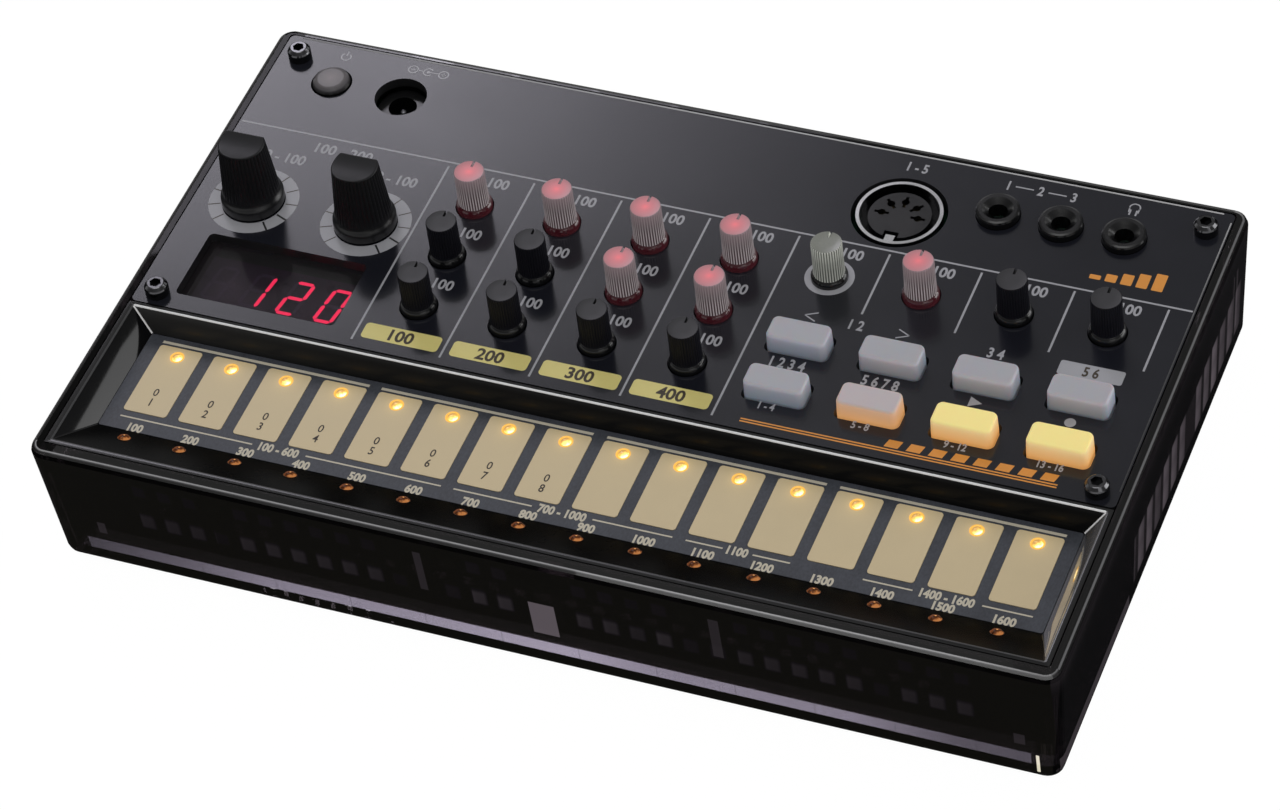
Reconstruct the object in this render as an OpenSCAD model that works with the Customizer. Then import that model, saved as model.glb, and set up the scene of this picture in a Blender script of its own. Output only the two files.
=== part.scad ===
// Drum machine in a smoked plastic case: a metal control panel with rotary and push
// controls, sockets at the back, and a row of sixteen touch keys in a bevelled bezel.
// Millimetres. +X is the player's right, +Y points away from the player, +Z is up.
// The origin lies on the ground plane under the middle of the case.

/* [Case] */
// Outside width at the rim
case_w = 194.3; // [189:0.1:205]
// Outside depth at the rim
case_d = 116.1; // [113:0.1:125]
// Height of the case without its feet
case_h = 29.1; // [28:0.1:34]
// How far each side leans in from the rim to the base
side_draft = 1.3; // [0:0.1:2]
// How far the front leans in
front_draft = 1.65; // [0.5:0.05:3]
// How far the back leans in
back_draft = 0.7; // [0:0.1:2]
// Radius of the upright corners
corner_r = 3.1; // [2.5:0.1:6]
// Rounding along the top outside edge
rim_round = 1.2; // [0.4:0.1:1.4]
// Rounding along the bottom outside edge
base_round = 2; // [0.6:0.1:2.3]
// Thickness of the side walls
side_wall = 2.3; // [1.5:0.1:2.5]
// Thickness of the front wall
front_wall = 2.95; // [2:0.05:3.2]
// Thickness of the back wall
back_wall = 1.6; // [1.4:0.1:2.2]
// Thickness of the floor
floor_t = 2.5; // [2.4:0.1:3]
// Gap between the case wall and the covers that lie in it
cover_gap = 0.25; // [0.15:0.05:0.4]

/* [Feet] */
// Height of a rubber foot
foot_h = 2.4; // [1.5:0.1:4]
// Diameter of a rubber foot
foot_d = 12; // [8:0.5:13]
// Distance from the side of the case to the middle of a foot
foot_x = 21.15; // [20.15:0.05:26.65]
// Distance from the front or the back of the case to the middle of a foot
foot_y = 15.05; // [14.05:0.05:21.55]

/* [Inner frame] */
// Gap between the case wall and the inner frame at the rim
frame_gap = 2.3; // [1.8:0.1:3]
// Thickness of the inner frame's walls
frame_t = 2; // [1.6:0.1:2.2]
// Height of the open band under the inner frame
frame_lift = 2.6; // [1.5:0.1:4]
// Distance from one comb slot to the next
slot_pitch = 5; // [4.5:0.1:7]
// Width of a comb slot
slot_w = 3; // [1.5:0.1:3.5]

/* [Control panel] */
// Thickness of the panel
panel_t = 2; // [1.6:0.1:2.2]
// Distance from the front of the case to the panel's front edge
panel_front = 40.1; // [39.75:0.05:40.55]
// Distance from one control column to the next
column_pitch = 17.54; // [17:0.02:17.7]
// Distance from the panel's left edge to the first column of small knobs
knob_x = 52.8; // [52.2:0.05:53.4]
// Distance from the panel's front edge to the back row of small knobs
knob_y = 39.7; // [38.5:0.05:40.5]
// Distance from one row of small knobs to the next
knob_row = 13.5; // [12.6:0.1:13.8]
// Distance from the panel screws to the panel's side edge
screw_in_x = 4.1; // [3.75:0.05:4.45]
// Distance from the front panel screws to the panel's front edge
screw_in_front = 3.05; // [2.8:0.05:4]
// Distance from the back panel screws to the panel's back edge
screw_in_back = 5.35; // [4.15:0.05:6.05]

/* [Small knobs] */
// Height of a small knob over the panel
knob_h = 8.95; // [7:0.05:12]
// Diameter of the ribbed grip
knob_d = 5.9; // [5:0.1:6.2]
// Diameter of the collar that fills the panel hole
collar_d = 6.9; // [6.5:0.1:7.6]
// Height of the collar over the panel
collar_h = 1.5; // [1:0.1:3]
// Grip ribs round a small knob
knob_ribs = 36; // [20:1:48]
// Diameter of the stem that turns in the potentiometer
stem_d = 4; // [3:0.1:4.4]

/* [Large knobs] */
// Distance from the panel's left edge to the left large knob
dial_x = 11.65; // [11.2:0.05:12.1]
// Distance from the panel's front edge to the large knobs
dial_y = 30; // [29:0.05:32]
// Distance between the two large knobs
dial_pitch = 23.05; // [20:0.05:25]
// Height of a large knob over the panel
dial_h = 15.4; // [13:0.1:18]
// Diameter of the skirt
skirt_d = 12; // [11.2:0.1:13]
// Diameter of the grip where it meets the skirt
grip_d = 11; // [10:0.1:11.1]
// Diameter of the grip at its top
grip_top_d = 8.8; // [8:0.1:10]
// Distance from the axis to the straight edge at the back of the top
chord = 2.3; // [1.8:0.1:3]
// Angle by which the facet under that edge leans out towards the base
back_lean = 17; // [12:1:20]
// Drop of the scooped top from its back edge to its front edge
scoop_drop = 0.3; // [0.1:0.1:1.5]
// Radius of the scoop
scoop_r = 12; // [8:0.5:20]
// Rounding round the top
dial_edge = 0.5; // [0.3:0.1:0.8]
// Diameter of the metal shaft
shaft_d = 6; // [4:0.1:6.2]
// Running clearance round every turning shaft
run_gap = 0.05; // [0.02:0.01:0.09]

/* [Push buttons] */
// Distance from the panel's left edge to the first column of buttons
button_x = 123.5; // [122.6:0.05:124.2]
// Distance from the panel's front edge to the back row of buttons
button_y = 22.35; // [21.35:0.05:23.35]
// Distance between the two rows
button_row = 12; // [11.2:0.1:12.4]
// Width of a button
button_w = 11.2; // [9:0.1:11.8]
// Depth of a button
button_d = 5.4; // [4.4:0.1:6]
// Height of a button over the panel
button_h = 3.6; // [2.5:0.1:5]
// How far a button goes down
button_travel = 1; // [0.5:0.1:1.3]
// Gap round a button in the panel
button_gap = 0.55; // [0.3:0.05:0.8]

/* [Display] */
// Distance from the panel's left edge to the middle of the window
window_x = 23.4; // [22.8:0.05:24]
// Distance from the panel's front edge to the middle of the window
window_y = 11.85; // [11.55:0.05:12.15]
// Width of the window opening
window_w = 32.2; // [28:0.1:33]
// Depth of the window opening
window_d = 16.2; // [14:0.1:16.6]
// Thickness of the window pane
pane_t = 1.2; // [0.8:0.1:1.6]
// Depth of the lit digits under the panel top
digit_depth = 5.7; // [4.8:0.1:6.2]

/* [Power and DC] */
// Distance from the panel's left edge to the power button
power_x = 13; // [12.4:0.05:14.1]
// Distance from the panel's back edge to the power button
power_y = 10.5; // [9.7:0.05:12.2]
// Diameter of the panel hole for the power button
power_hole = 8.05; // [7.6:0.05:9]
// Travel of the power button
power_travel = 0.8; // [0.5:0.1:1]
// Distance from the panel's left edge to the DC socket
dc_x = 27.6; // [26.6:0.05:28.6]
// Distance from the panel's back edge to the DC socket
dc_y = 10.7; // [9.9:0.05:12.2]
// Diameter of the panel hole for the DC socket
dc_hole = 10.15; // [9.8:0.05:11]
// Diameter of the DC socket's barrel bore
dc_bore = 5.5; // [5:0.1:6]
// Depth of the DC socket's face under the panel top
dc_depth = 2.8; // [2:0.1:4]

/* [Five-pin socket] */
// Distance from the panel's right edge to the five-pin socket
din_x = 59.4; // [58.1:0.05:60.6]
// Distance from the panel's back edge to the five-pin socket
din_y = 15.4; // [14.7:0.05:16.7]
// Diameter of the panel hole
din_hole = 18; // [17:0.1:18.6]
// Outside diameter of the metal shell
shell_d = 16.2; // [15.6:0.1:16.6]
// Wall of the metal shell
shell_t = 0.65; // [0.5:0.05:0.9]
// Diameter of the insert
insert_d = 11.8; // [11:0.1:12.6]
// Depth of the insert's face under the panel top
insert_depth = 0.7; // [0.3:0.1:2]
// Radius of the circle that the contacts lie on
contact_r = 3.5; // [3.2:0.1:3.8]

/* [Jack sockets] */
// Distance from the panel's right edge to the rightmost jack socket
jack_x = 17.75; // [16.6:0.05:19.1]
// Distance from the panel's back edge to the jack sockets
jack_y = 11.1; // [9.7:0.05:12.2]
// Distance from one jack socket to the next
jack_pitch = 12; // [11:0.1:12.5]
// Outside diameter of a jack bushing
bushing_d = 8.2; // [7:0.1:8.6]
// Height of a jack bushing over the panel
bushing_h = 1.7; // [1:0.1:3]
// Diameter of a jack's bore
jack_bore = 3.6; // [3.5:0.05:3.8]

/* [Keyboard] */
// Number of keys
key_count = 16; // [8:1:16]
// Distance from one key to the next
key_pitch = 11.03; // [10.4:0.01:11.1]
// Width of a key
key_w = 8.6; // [7:0.1:9.2]
// Depth of a key
key_d = 16.8; // [14:0.1:18]
// Distance from the front of the case to the keys' back edge
key_back = 35.15; // [34.65:0.05:35.65]
// Depth of the key surface under the rim
sheet_depth = 5; // [4:0.1:5.4]
// Bezel's bevel across each side
bevel_side = 3.65; // [2:0.05:4]
// Bezel's bevel at the back
bevel_back = 1.5; // [0.8:0.1:1.8]
// Bezel's wide bevel at the front
bevel_front = 9.7; // [8:0.1:10]
// Flat strip round the bevels
bezel_strip = 1; // [0.6:0.1:1.4]
// Distance of the key lamps from the keys' back edge
lamp_in = 2.3; // [1.8:0.1:4]
// Diameter of the lamps
lamp_d = 2.4; // [1.8:0.1:2.6]

/* [Batteries] */
// Diameter of a cell
cell_d = 14.2; // [13.5:0.1:14.5]
// Length of a cell
cell_l = 50; // [49:0.1:51]
// Distance from the back of the case to the battery door's front edge
door_front = 54.55; // [53.05:0.05:55.55]
// Clearance round the sliding door
door_gap = 0.25; // [0.2:0.05:0.4]

/* [Speaker] */
// Distance from the left side of the case to the middle of the speaker
speaker_x = 49.15; // [47.15:0.05:53.15]
// Distance from the front of the case to the middle of the speaker
speaker_y = 29.45; // [28.05:0.05:31.05]
// Diameter of the speaker
speaker_d = 34; // [28:0.5:36]
// Distance from one sound slot in the floor to the next
sound_pitch = 3.2; // [2.6:0.1:4]

/* [Hidden] */

$fn = 48;
eps = 0.01;

// heights
rim_z = foot_h + case_h;
panel_under = rim_z - panel_t;
floor_z = foot_h + floor_t;
sheet_z = rim_z - sheet_depth;
sheet_t = 1.5;
key_board_top = sheet_z - sheet_t;
board_t = 1.6;
board_top = panel_under - 6;
frame_z = floor_z + frame_lift;
boss_h = 5;
boss_r = 3.7;

// inside of the case at the rim
inner_x = case_w / 2 - side_wall;
inner_front = -case_d / 2 + front_wall;
inner_back = case_d / 2 - back_wall;

// control panel and bezel outlines
cover_x = inner_x - cover_gap;
front_edge = panel_front - case_d / 2;
back_edge = inner_back - cover_gap;
bezel_front = inner_front + cover_gap;
bezel_back = front_edge - cover_gap - 0.1;
screw_x = cover_x - screw_in_x;
screw_ys = [front_edge + screw_in_front, back_edge - screw_in_back];

// inner frame outline
frame_x = inner_x - frame_gap - 0.3;
frame_front = inner_front + frame_gap + 0.2;
frame_back = inner_back - frame_gap;
cross_back = front_edge + 2;
cross_front = bezel_back - bezel_strip - bevel_back - 0.6;
ledge = 3.4;
board_x = frame_x - frame_t - 2.4;
board_back = frame_back - frame_t - 0.4;
board_front = cross_back + 0.4;
key_board_front = frame_front + frame_t + 0.3;
key_board_back = cross_front - 0.3;
front_slot_in = 12;
front_slot_h = 4.5;
side_slot_in = 14.5;

// fastenings between case and frame
post_x = frame_x - frame_t - 4;
post_in = 4.6;
post_ys = [frame_front + frame_t + post_in, frame_back - frame_t - post_in];
post_r = 3.2;
case_screw_r = 1.45;
case_head_r = 2.6;
case_head_h = 2;
panel_screw_r = 1.2;
screw_slack = 0.1;
screw_post_r = 2.3;
head_r = 2.25;
head_h = 2.6;

// knobs
knob_corner = [knob_x - cover_x, knob_y + front_edge];
knob_slots = concat(
    [for (c = [0:7]) knob_corner + [c * column_pitch, 0]],
    [for (r = [1, 2], c = [0:3]) knob_corner + [c * column_pitch, -r * knob_row]]);
knob_hole = collar_d + 0.4;
dials = [for (i = [0, 1]) [dial_x - cover_x + i * dial_pitch, dial_y + front_edge]];
pot_h = 4.9;
pot_size = [9.5, 10.5];
dial_pot_size = [10.6, 12];
stem_bottom = board_top + 1;
skirt_lift = 0.4;
skirt_h = 2.4;
shaft_top = rim_z + 0.66 * dial_h;

// buttons
buttons = [for (r = [0, 1], c = [0:3])
    [button_x - cover_x + c * column_pitch, button_y + front_edge - r * button_row]];
flange_t = 0.8;
flange_over = 0.7;
switch_h = 3.2;
power_switch_h = 3.4;
press_gap = 0.1;

// display
window_at = [window_x - cover_x, window_y + front_edge];
module_size = [30.9, 12.6];

// sockets
power_at = [power_x - cover_x, back_edge - power_y];
dc_at = [dc_x - cover_x, back_edge - dc_y];
din_at = [cover_x - din_x, back_edge - din_y];
jacks = [for (i = [2, 1, 0]) [cover_x - jack_x - i * jack_pitch, back_edge - jack_y]];
jack_body_top = panel_under - 0.2;
jack_body = [10, 12];
dc_r = dc_hole / 2 - 0.35;
contact_in = 5;

// keys
key_xs = [for (i = [0:key_count - 1]) (i - (key_count - 1) / 2) * key_pitch + 0.1];
keys_back = key_back - case_d / 2;
key_y = keys_back - key_d / 2;
open_x = cover_x - bezel_strip;
open_front = bezel_front + bezel_strip - 0.2;
open_back = bezel_back - bezel_strip + 0.2;
sheet_x = open_x - bevel_side;
sheet_front = open_front + bevel_front;
sheet_back = open_back - bevel_back;
bezel_lamp_y = sheet_front - 3.2;
bevel_slope = sheet_depth / bevel_front;

// battery compartment
cell_pitch = cell_d + 0.3;
box_wall = 1.2;
contact_t = 0.5;
wire_r = 0.45;
spring_l = 6 * wire_r;
box_x = cell_l + contact_t + spring_l / 2 + box_wall + 0.1;
door_y = case_d / 2 - door_front;
box_front = door_y + 1;
box_back = box_front + 3 * cell_pitch + 2 * box_wall + 0.3;
box_top = floor_z + cell_d + 1 + box_wall;
cell_z = floor_z + 0.3 + cell_d / 2;
cell_ys = [for (i = [0:2]) box_front + box_wall + 0.15 + cell_pitch * (i + 0.5)];
door_x = box_x + 1;
tongue = 1;
tongue_h = 1;

// speaker
speaker_at = [speaker_x - case_w / 2, speaker_y - case_d / 2];
speaker_r = speaker_d / 2;
slot_reach = speaker_r - 2;
magnet_r = 8.5;
magnet_h = 3;
basket_h = 5;
cone_rim = 3.5;

// ---- helpers ----

// rectangle with rounded corners, made of exact arcs
module rrect(w, d, r) {
    square([w - 2 * r, d], center = true);
    square([w, d - 2 * r], center = true);
    for (sx = [-1, 1], sy = [-1, 1])
        translate([sx * (w / 2 - r), sy * (d / 2 - r)]) circle(r);
}

// rounded rectangle given by its edges
module rrect_edges(x0, x1, y0, y1, r) {
    translate([(x0 + x1) / 2, (y0 + y1) / 2]) rrect(x1 - x0, y1 - y0, r);
}

module slab(z0, z1) {
    translate([0, 0, z0]) linear_extrude(z1 - z0) children();
}

module tube(r_out, r_in, z0, z1) {
    slab(z0, z1) difference() {
        circle(r_out);
        circle(r_in);
    }
}

// points round a rounded rectangle at one height, n to a corner
function ring(x0, x1, y0, y1, r, z, n = 7) = [
    for (c = [0:3], k = [0:n - 1])
        let (a = 90 * (c + k / (n - 1)))
        [(c == 0 || c == 3 ? x1 - r : x0 + r) + r * cos(a),
            (c < 2 ? y1 - r : y0 + r) + r * sin(a), z]];

// solid skinned over rings that have the same number of points, lowest first
module loft(rings) {
    n = len(rings[0]);
    last = n * (len(rings) - 1);
    polyhedron(
        points = [for (level = rings) each level],
        faces = concat(
            [[for (i = [0:n - 1]) i]],
            [[for (i = [n - 1:-1:0]) last + i]],
            [for (j = [0:len(rings) - 2], i = [0:n - 1], half = [0, 1])
                let (a = j * n + i, b = j * n + (i + 1) % n)
                half == 0 ? [a, a + n, b] : [b, a + n, b + n]]));
}

// ring of the tapered case at height z, set in by inset on every side
function case_ring(z, inset, wall_x = 0, wall_f = 0, wall_b = 0) =
    let (lean = (rim_z - z) / case_h, hx = case_w / 2 - side_draft * lean - wall_x - inset)
    ring(-hx, hx, -case_d / 2 + front_draft * lean + wall_f + inset,
        case_d / 2 - back_draft * lean - wall_b - inset, max(corner_r - wall_x - inset, 0.6), z);

module case_solid() {
    loft(concat(
        [for (a = [0, 30, 60, 90])
            case_ring(foot_h + base_round * (1 - cos(a)), base_round * (1 - sin(a)))],
        [for (a = [0, 45, 90])
            case_ring(rim_z - rim_round * (1 - sin(a)), rim_round * (1 - cos(a)))]));
}

// space inside the case walls, less a gap all round
module case_hollow(gap = 0) {
    loft([for (z = [floor_z, rim_z + 1]) case_ring(z, gap, side_wall, front_wall, back_wall)]);
}

// ribbed grip: a star outline
module star(r_out, r_in, n) {
    polygon([for (i = [0:2 * n - 1])
        let (a = 180 * i / n, r = i % 2 == 0 ? r_out : r_in) [r * cos(a), r * sin(a)]]);
}

// ---- case ----

module at_posts() {
    for (sx = [-1, 1], y = post_ys) translate([sx * post_x, y, 0]) children();
}

module speaker_slots() {
    n = floor(slot_reach / sound_pitch);
    for (i = [-n:n])
        translate(speaker_at + [i * sound_pitch, 0])
            rrect(1.6, 2 * round(sqrt(pow(slot_reach, 2) - pow(i * sound_pitch, 2))), 0.7);
}

module door_outline(gap) {
    translate([-door_x - gap, door_y - gap]) square([2 * (door_x + gap), case_d]);
}

module lower_case() {
    color([0.12, 0.12, 0.15, 0.8]) difference() {
        union() {
            difference() {
                case_solid();
                case_hollow();
            }
            at_posts() slab(floor_z - 0.5, floor_z + boss_h) circle(boss_r);
        }
        at_posts() {
            slab(foot_h - 1, floor_z + boss_h + 1) circle(case_screw_r + screw_slack);
            slab(foot_h - 1, floor_z + case_head_h) circle(case_head_r + 3 * screw_slack);
        }
        slab(foot_h - 1, floor_z + door_gap) door_outline(door_gap);
        slab(foot_h - 1, floor_z + 1) speaker_slots();
        door_tongues(door_gap, case_d);
    }
}

// tongues that run in grooves along both sides of the door
module door_tongues(gap, back) {
    front = door_y + 4 - gap;
    reach = door_x + tongue + gap;
    translate([-reach, front, foot_h + 0.7 - gap])
        cube([2 * reach, back - front, tongue_h + 2 * gap]);
}

module battery_door() {
    color([0.1, 0.1, 0.12]) difference() {
        union() {
            intersection() {
                case_solid();
                slab(foot_h, floor_z - door_gap) door_outline(0);
            }
            door_tongues(0, case_d / 2 - 3);
        }
        // finger grip
        for (i = [0:4]) translate([0, case_d / 2 - 14 + i * 1.8, foot_h - 0.5])
            slab(0, 1) rrect(26 - 3 * i, 0.9, 0.4);
    }
}

module rubber_feet() {
    color([0.05, 0.05, 0.05])
        for (sx = [-1, 1], sy = [-1, 1])
            translate([sx * (case_w / 2 - foot_x), sy * (case_d / 2 - foot_y), 0])
            rotate_extrude() polygon([
                [0, 0.5], [foot_d / 2 - 2, 0.5], [foot_d / 2 - 1.6, 0], [foot_d / 2 - 0.5, 0],
                [foot_d / 2, 0.5], [foot_d / 2, foot_h], [0, foot_h]]);
}

module case_screws() {
    color("silver") at_posts() difference() {
        union() {
            slab(floor_z, floor_z + case_head_h) circle(case_head_r);
            slab(floor_z + 1, frame_z + 9) circle(case_screw_r);
        }
        for (a = [0, 90]) rotate(a) translate([-1.5, -0.3, floor_z - 1]) cube([3, 0.6, 2]);
    }
}

// ---- inner frame ----

module frame_ring(x_in, y_in) {
    difference() {
        rrect_edges(-frame_x, frame_x, frame_front, frame_back, 2.5);
        rrect_edges(-frame_x + x_in, frame_x - x_in, frame_front + y_in, frame_back - y_in, 1);
    }
}

module inner_frame() {
    color([0.06, 0.06, 0.07]) difference() {
        union() {
            slab(frame_z, key_board_top) frame_ring(frame_t, frame_t);
            slab(key_board_top, panel_under) intersection() {
                frame_ring(frame_t, frame_t);
                translate([-case_w, front_edge]) square([2 * case_w, case_d]);
            }
            // ledges that carry the two boards
            slab(board_top - board_t - 1.6, board_top - board_t) intersection() {
                frame_ring(frame_t + ledge, frame_t);
                translate([-case_w, front_edge]) square([2 * case_w, case_d]);
            }
            slab(key_board_top - board_t - 1.6, key_board_top - board_t) intersection() {
                frame_ring(frame_t + ledge, frame_t + 2);
                translate([-case_w, -case_d]) square([2 * case_w, case_d + cross_front]);
            }
            // wall across the case between panel and keyboard
            slab(frame_z + 8, key_board_top)
                rrect_edges(-frame_x + 1, frame_x - 1, cross_front, cross_back, 0.5);
            slab(key_board_top - 1, panel_under)
                rrect_edges(-frame_x + 1, frame_x - 1, front_edge, cross_back, 0.5);
            // posts for the case screws and for the panel screws
            at_posts() {
                slab(floor_z + boss_h, board_top - board_t - 0.5) circle(post_r);
            }
            for (sx = [-1, 1], y = post_ys)
                translate([sx * (post_x + post_r), y, floor_z + boss_h])
                    slab(0, 8) square([4, 3], center = true);
            for (sx = [-1, 1], y = screw_ys)
                translate([sx * screw_x, y, 0]) slab(board_top - 4, panel_under) circle(screw_post_r);
        }
        at_posts() slab(floor_z, frame_z + 10) circle(case_screw_r + screw_slack);
        for (sx = [-1, 1], y = screw_ys)
            translate([sx * screw_x, y, 0]) slab(board_top - 1, rim_z) circle(panel_screw_r + screw_slack);
        comb_slots();
    }
}

// comb of light slots in the frame's walls
module comb_slots() {
    front_n = floor((frame_x - 14) / slot_pitch);
    for (i = [-front_n:front_n])
        translate([i * slot_pitch + 0.9 - slot_w / 2, frame_front - 1, rim_z - front_slot_in - front_slot_h])
            cube([slot_w, frame_t + 2, front_slot_h]);
    side_n = floor((frame_back - 2 + 12) / slot_pitch) - 1;
    for (sx = [-1, 1], i = [0:side_n])
        translate([sx * (frame_x - frame_t / 2) - frame_t, -12 + i * slot_pitch, frame_z - 1])
            cube([2 * frame_t, slot_w, rim_z - side_slot_in - frame_z + 1]);
}

// ---- control panel ----

module panel_cuts() {
    for (p = knob_slots) translate(p) circle(knob_hole / 2);
    for (p = dials) translate(p) circle(shaft_d / 2 + 0.6);
    for (p = buttons) translate(p)
        rrect(button_w + 2 * button_gap, button_d + 2 * button_gap, 1.4);
    translate(window_at) rrect(window_w, window_d, 1);
    translate(power_at) circle(power_hole / 2);
    translate(dc_at) circle(dc_hole / 2);
    translate(din_at) circle(din_hole / 2);
    for (p = jacks) translate(p) circle(bushing_d / 2 + 0.1);
    for (sx = [-1, 1], y = screw_ys) translate([sx * screw_x, y]) circle(panel_screw_r + 0.15);
}

module front_panel() {
    color([0.27, 0.27, 0.3]) slab(panel_under, rim_z) difference() {
        rrect_edges(-cover_x, cover_x, front_edge, back_edge, 1);
        panel_cuts();
    }
}

module panel_screws() {
    color("dimgray") for (sx = [-1, 1], y = screw_ys) translate([sx * screw_x, y, 0])
        difference() {
            union() {
                translate([0, 0, rim_z]) rotate_extrude() polygon([
                    [0, 0], [head_r, 0], [head_r, head_h - 0.9], [head_r - 0.15, head_h - 0.6],
                    [head_r - 0.6, head_h - 0.08], [head_r - 0.75, head_h], [0, head_h]]);
                slab(board_top, rim_z) circle(panel_screw_r);
            }
            slab(rim_z + head_h - 1.4, rim_z + head_h + 1) circle(1.15, $fn = 6);
        }
}

// ---- keyboard ----

// opening with four sloping sides: two crossed prisms
module bezel_opening() {
    top = rim_z + 1;
    grow = 1 / sheet_depth;
    intersection() {
        translate([0, case_d, 0]) rotate([90, 0, 0]) linear_extrude(2 * case_d) polygon([
            [-sheet_x, key_board_top - 1], [sheet_x, key_board_top - 1], [sheet_x, sheet_z],
            [open_x + bevel_side * grow, top], [-open_x - bevel_side * grow, top], [-sheet_x, sheet_z]]);
        translate([-case_w, 0, 0]) rotate([90, 0, 90]) linear_extrude(2 * case_w) polygon([
            [sheet_front, key_board_top - 1], [sheet_back, key_board_top - 1], [sheet_back, sheet_z],
            [open_back + bevel_back * grow, top], [open_front - bevel_front * grow, top],
            [sheet_front, sheet_z]]);
    }
}

module key_bezel() {
    color([0.03, 0.03, 0.035]) difference() {
        intersection() {
            slab(key_board_top, rim_z) rrect_edges(-cover_x, cover_x, bezel_front, bezel_back, 1);
            case_hollow(cover_gap);
        }
        bezel_opening();
        for (x = key_xs) translate([x, bezel_lamp_y, key_board_top - 1])
            cylinder(h = sheet_depth + 3, d = lamp_d + 0.1);
    }
}

module key_sheet() {
    color([0.24, 0.25, 0.28]) slab(key_board_top, sheet_z) difference() {
        rrect_edges(-sheet_x + 0.1, sheet_x - 0.1, sheet_front + 0.1, sheet_back - 0.1, 0.5);
        for (x = key_xs) translate([x, key_y]) rrect(key_w + 0.1, key_d + 0.1, 0.7);
    }
}

module key_pads() {
    color([0.84, 0.78, 0.6]) for (x = key_xs) translate([x, key_y, 0])
        slab(key_board_top, sheet_z + 0.1) difference() {
            rrect(key_w, key_d, 0.65);
            translate([0, key_d / 2 - lamp_in]) circle(lamp_d / 2 + 0.05);
        }
}

module key_lamps() {
    color([1, 0.85, 0.3]) for (x = key_xs) translate([x, keys_back - lamp_in, 0])
        slab(key_board_top, sheet_z + 0.15) circle(lamp_d / 2);
}

// light pipes whose tops follow the bezel's front slope
module bezel_lamps() {
    color([0.8, 0.4, 0.1]) for (x = key_xs) translate([x, bezel_lamp_y, 0])
        intersection() {
            slab(key_board_top, rim_z) circle(lamp_d / 2);
            translate([-lamp_d, 0, sheet_z + bevel_slope * (sheet_front - bezel_lamp_y) + 0.15])
                rotate([atan(-bevel_slope), 0, 0]) translate([0, -2 * lamp_d, -2 * sheet_depth])
                cube([2 * lamp_d, 4 * lamp_d, 2 * sheet_depth]);
        }
}

// ---- display ----

module display_window() {
    color([0.3, 0.1, 0.12, 0.6]) slab(panel_under - pane_t, panel_under)
        translate(window_at) rrect(window_w + 1.2, window_d + 2, 1);
}

module display_module() {
    w = module_size[0];
    d = module_size[1];
    color([0.12, 0.12, 0.13]) translate(window_at + [-0.4, 1]) difference() {
        slab(board_top, rim_z - digit_depth) rrect(w, d, 0.4);
        for (i = [-1, 0, 1]) translate([i * w / 4 - 0.1, -d, board_top - 1]) cube([0.2, 2 * d, 1.5]);
    }
}

// ---- sockets ----

module din_shell() {
    color("silver") translate(din_at) {
        tube(shell_d / 2, shell_d / 2 - shell_t, board_top, rim_z);
        slab(board_top + 2, rim_z - 0.8)
            translate([-0.9, -(shell_d - shell_t) / 2]) square([1.8, (shell_d - insert_d) / 2 + 0.4]);
    }
}

module din_insert() {
    face = rim_z - insert_depth;
    color([0.12, 0.12, 0.12]) translate(din_at) difference() {
        union() {
            slab(board_top, face) circle(insert_d / 2);
            slab(board_top, board_top + 1) circle(shell_d / 2 - shell_t - 0.1);
        }
        translate([-1.4, -insert_d / 2 - 1.5, board_top + 1.5]) cube([2.8, 3, rim_z]);
        for (a = [0:45:180]) rotate(a) translate([contact_r, 0, 0]) {
            slab(face - contact_in, face + 1) circle(0.75);
            slab(face - contact_in, face + 1) square([2.8, 0.6], center = true);
        }
    }
}

module din_contacts() {
    color("goldenrod") translate(din_at) for (a = [0:45:180])
        rotate(a) translate([contact_r, 0, 0])
            tube(0.7, 0.5, rim_z - insert_depth - contact_in, rim_z - insert_depth - 1.5);
}

module mini_jacks() {
    color([0.08, 0.08, 0.08]) for (p = jacks) translate(p) slab(board_top, jack_body_top)
        difference() {
            translate([0, -1]) rrect(jack_body[0], jack_body[1], 0.6);
            circle(jack_bore / 2);
        }
}

module mini_jack_bushings() {
    r = bushing_d / 2;
    top = rim_z + bushing_h;
    b = jack_bore / 2;
    color([0.05, 0.05, 0.05]) for (p = jacks) translate(p) rotate_extrude() polygon([
        [b, jack_body_top], [r, jack_body_top], [r, top - 0.5], [r - 0.15, top - 0.15],
        [r - 0.5, top], [b + 1.1, top], [b + 0.6, top - 0.4], [b, top - 0.9]]);
}

module dc_jack() {
    color([0.06, 0.06, 0.06]) translate(dc_at) difference() {
        union() {
            slab(board_top, rim_z - dc_depth) circle(dc_r);
            slab(board_top, board_top + 3) translate([0, -1]) rrect(9, 12, 0.5);
        }
        slab(board_top + 1, rim_z) circle(dc_bore / 2);
    }
}

module dc_jack_pin() {
    color("silver") translate([dc_at[0], dc_at[1], board_top + 1]) {
        cylinder(h = rim_z - dc_depth - 0.7 - board_top - 2, d = 2);
        translate([0, 0, rim_z - dc_depth - 0.7 - board_top - 2]) sphere(d = 2);
    }
}

// ---- power button ----

module power_button() {
    r = power_hole / 2 - 0.3;
    top = rim_z + 1.3;
    under = board_top + power_switch_h + power_travel + press_gap;
    color([0.6, 0.6, 0.62]) translate(power_at) {
        rotate_extrude() polygon([
            [0, under], [1.5, under], [1.5, panel_under - flange_t - 0.1],
            [r + 0.7, panel_under - flange_t - 0.1],
            [r + 0.7, panel_under - 0.1], [r, panel_under - 0.1], [r, top - 1.1],
            [r - 0.25, top - 0.5], [r - 0.8, top - 0.1], [r - 1.2, top], [0, top]]);
    }
}

module power_switch() {
    color([0.15, 0.15, 0.15]) translate(power_at) {
        slab(board_top, board_top + power_switch_h - 0.5) rrect(7, 7, 0.4);
        slab(board_top + power_switch_h - 0.5 - eps, board_top + power_switch_h) circle(1.6);
    }
}

// ---- knobs ----

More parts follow.
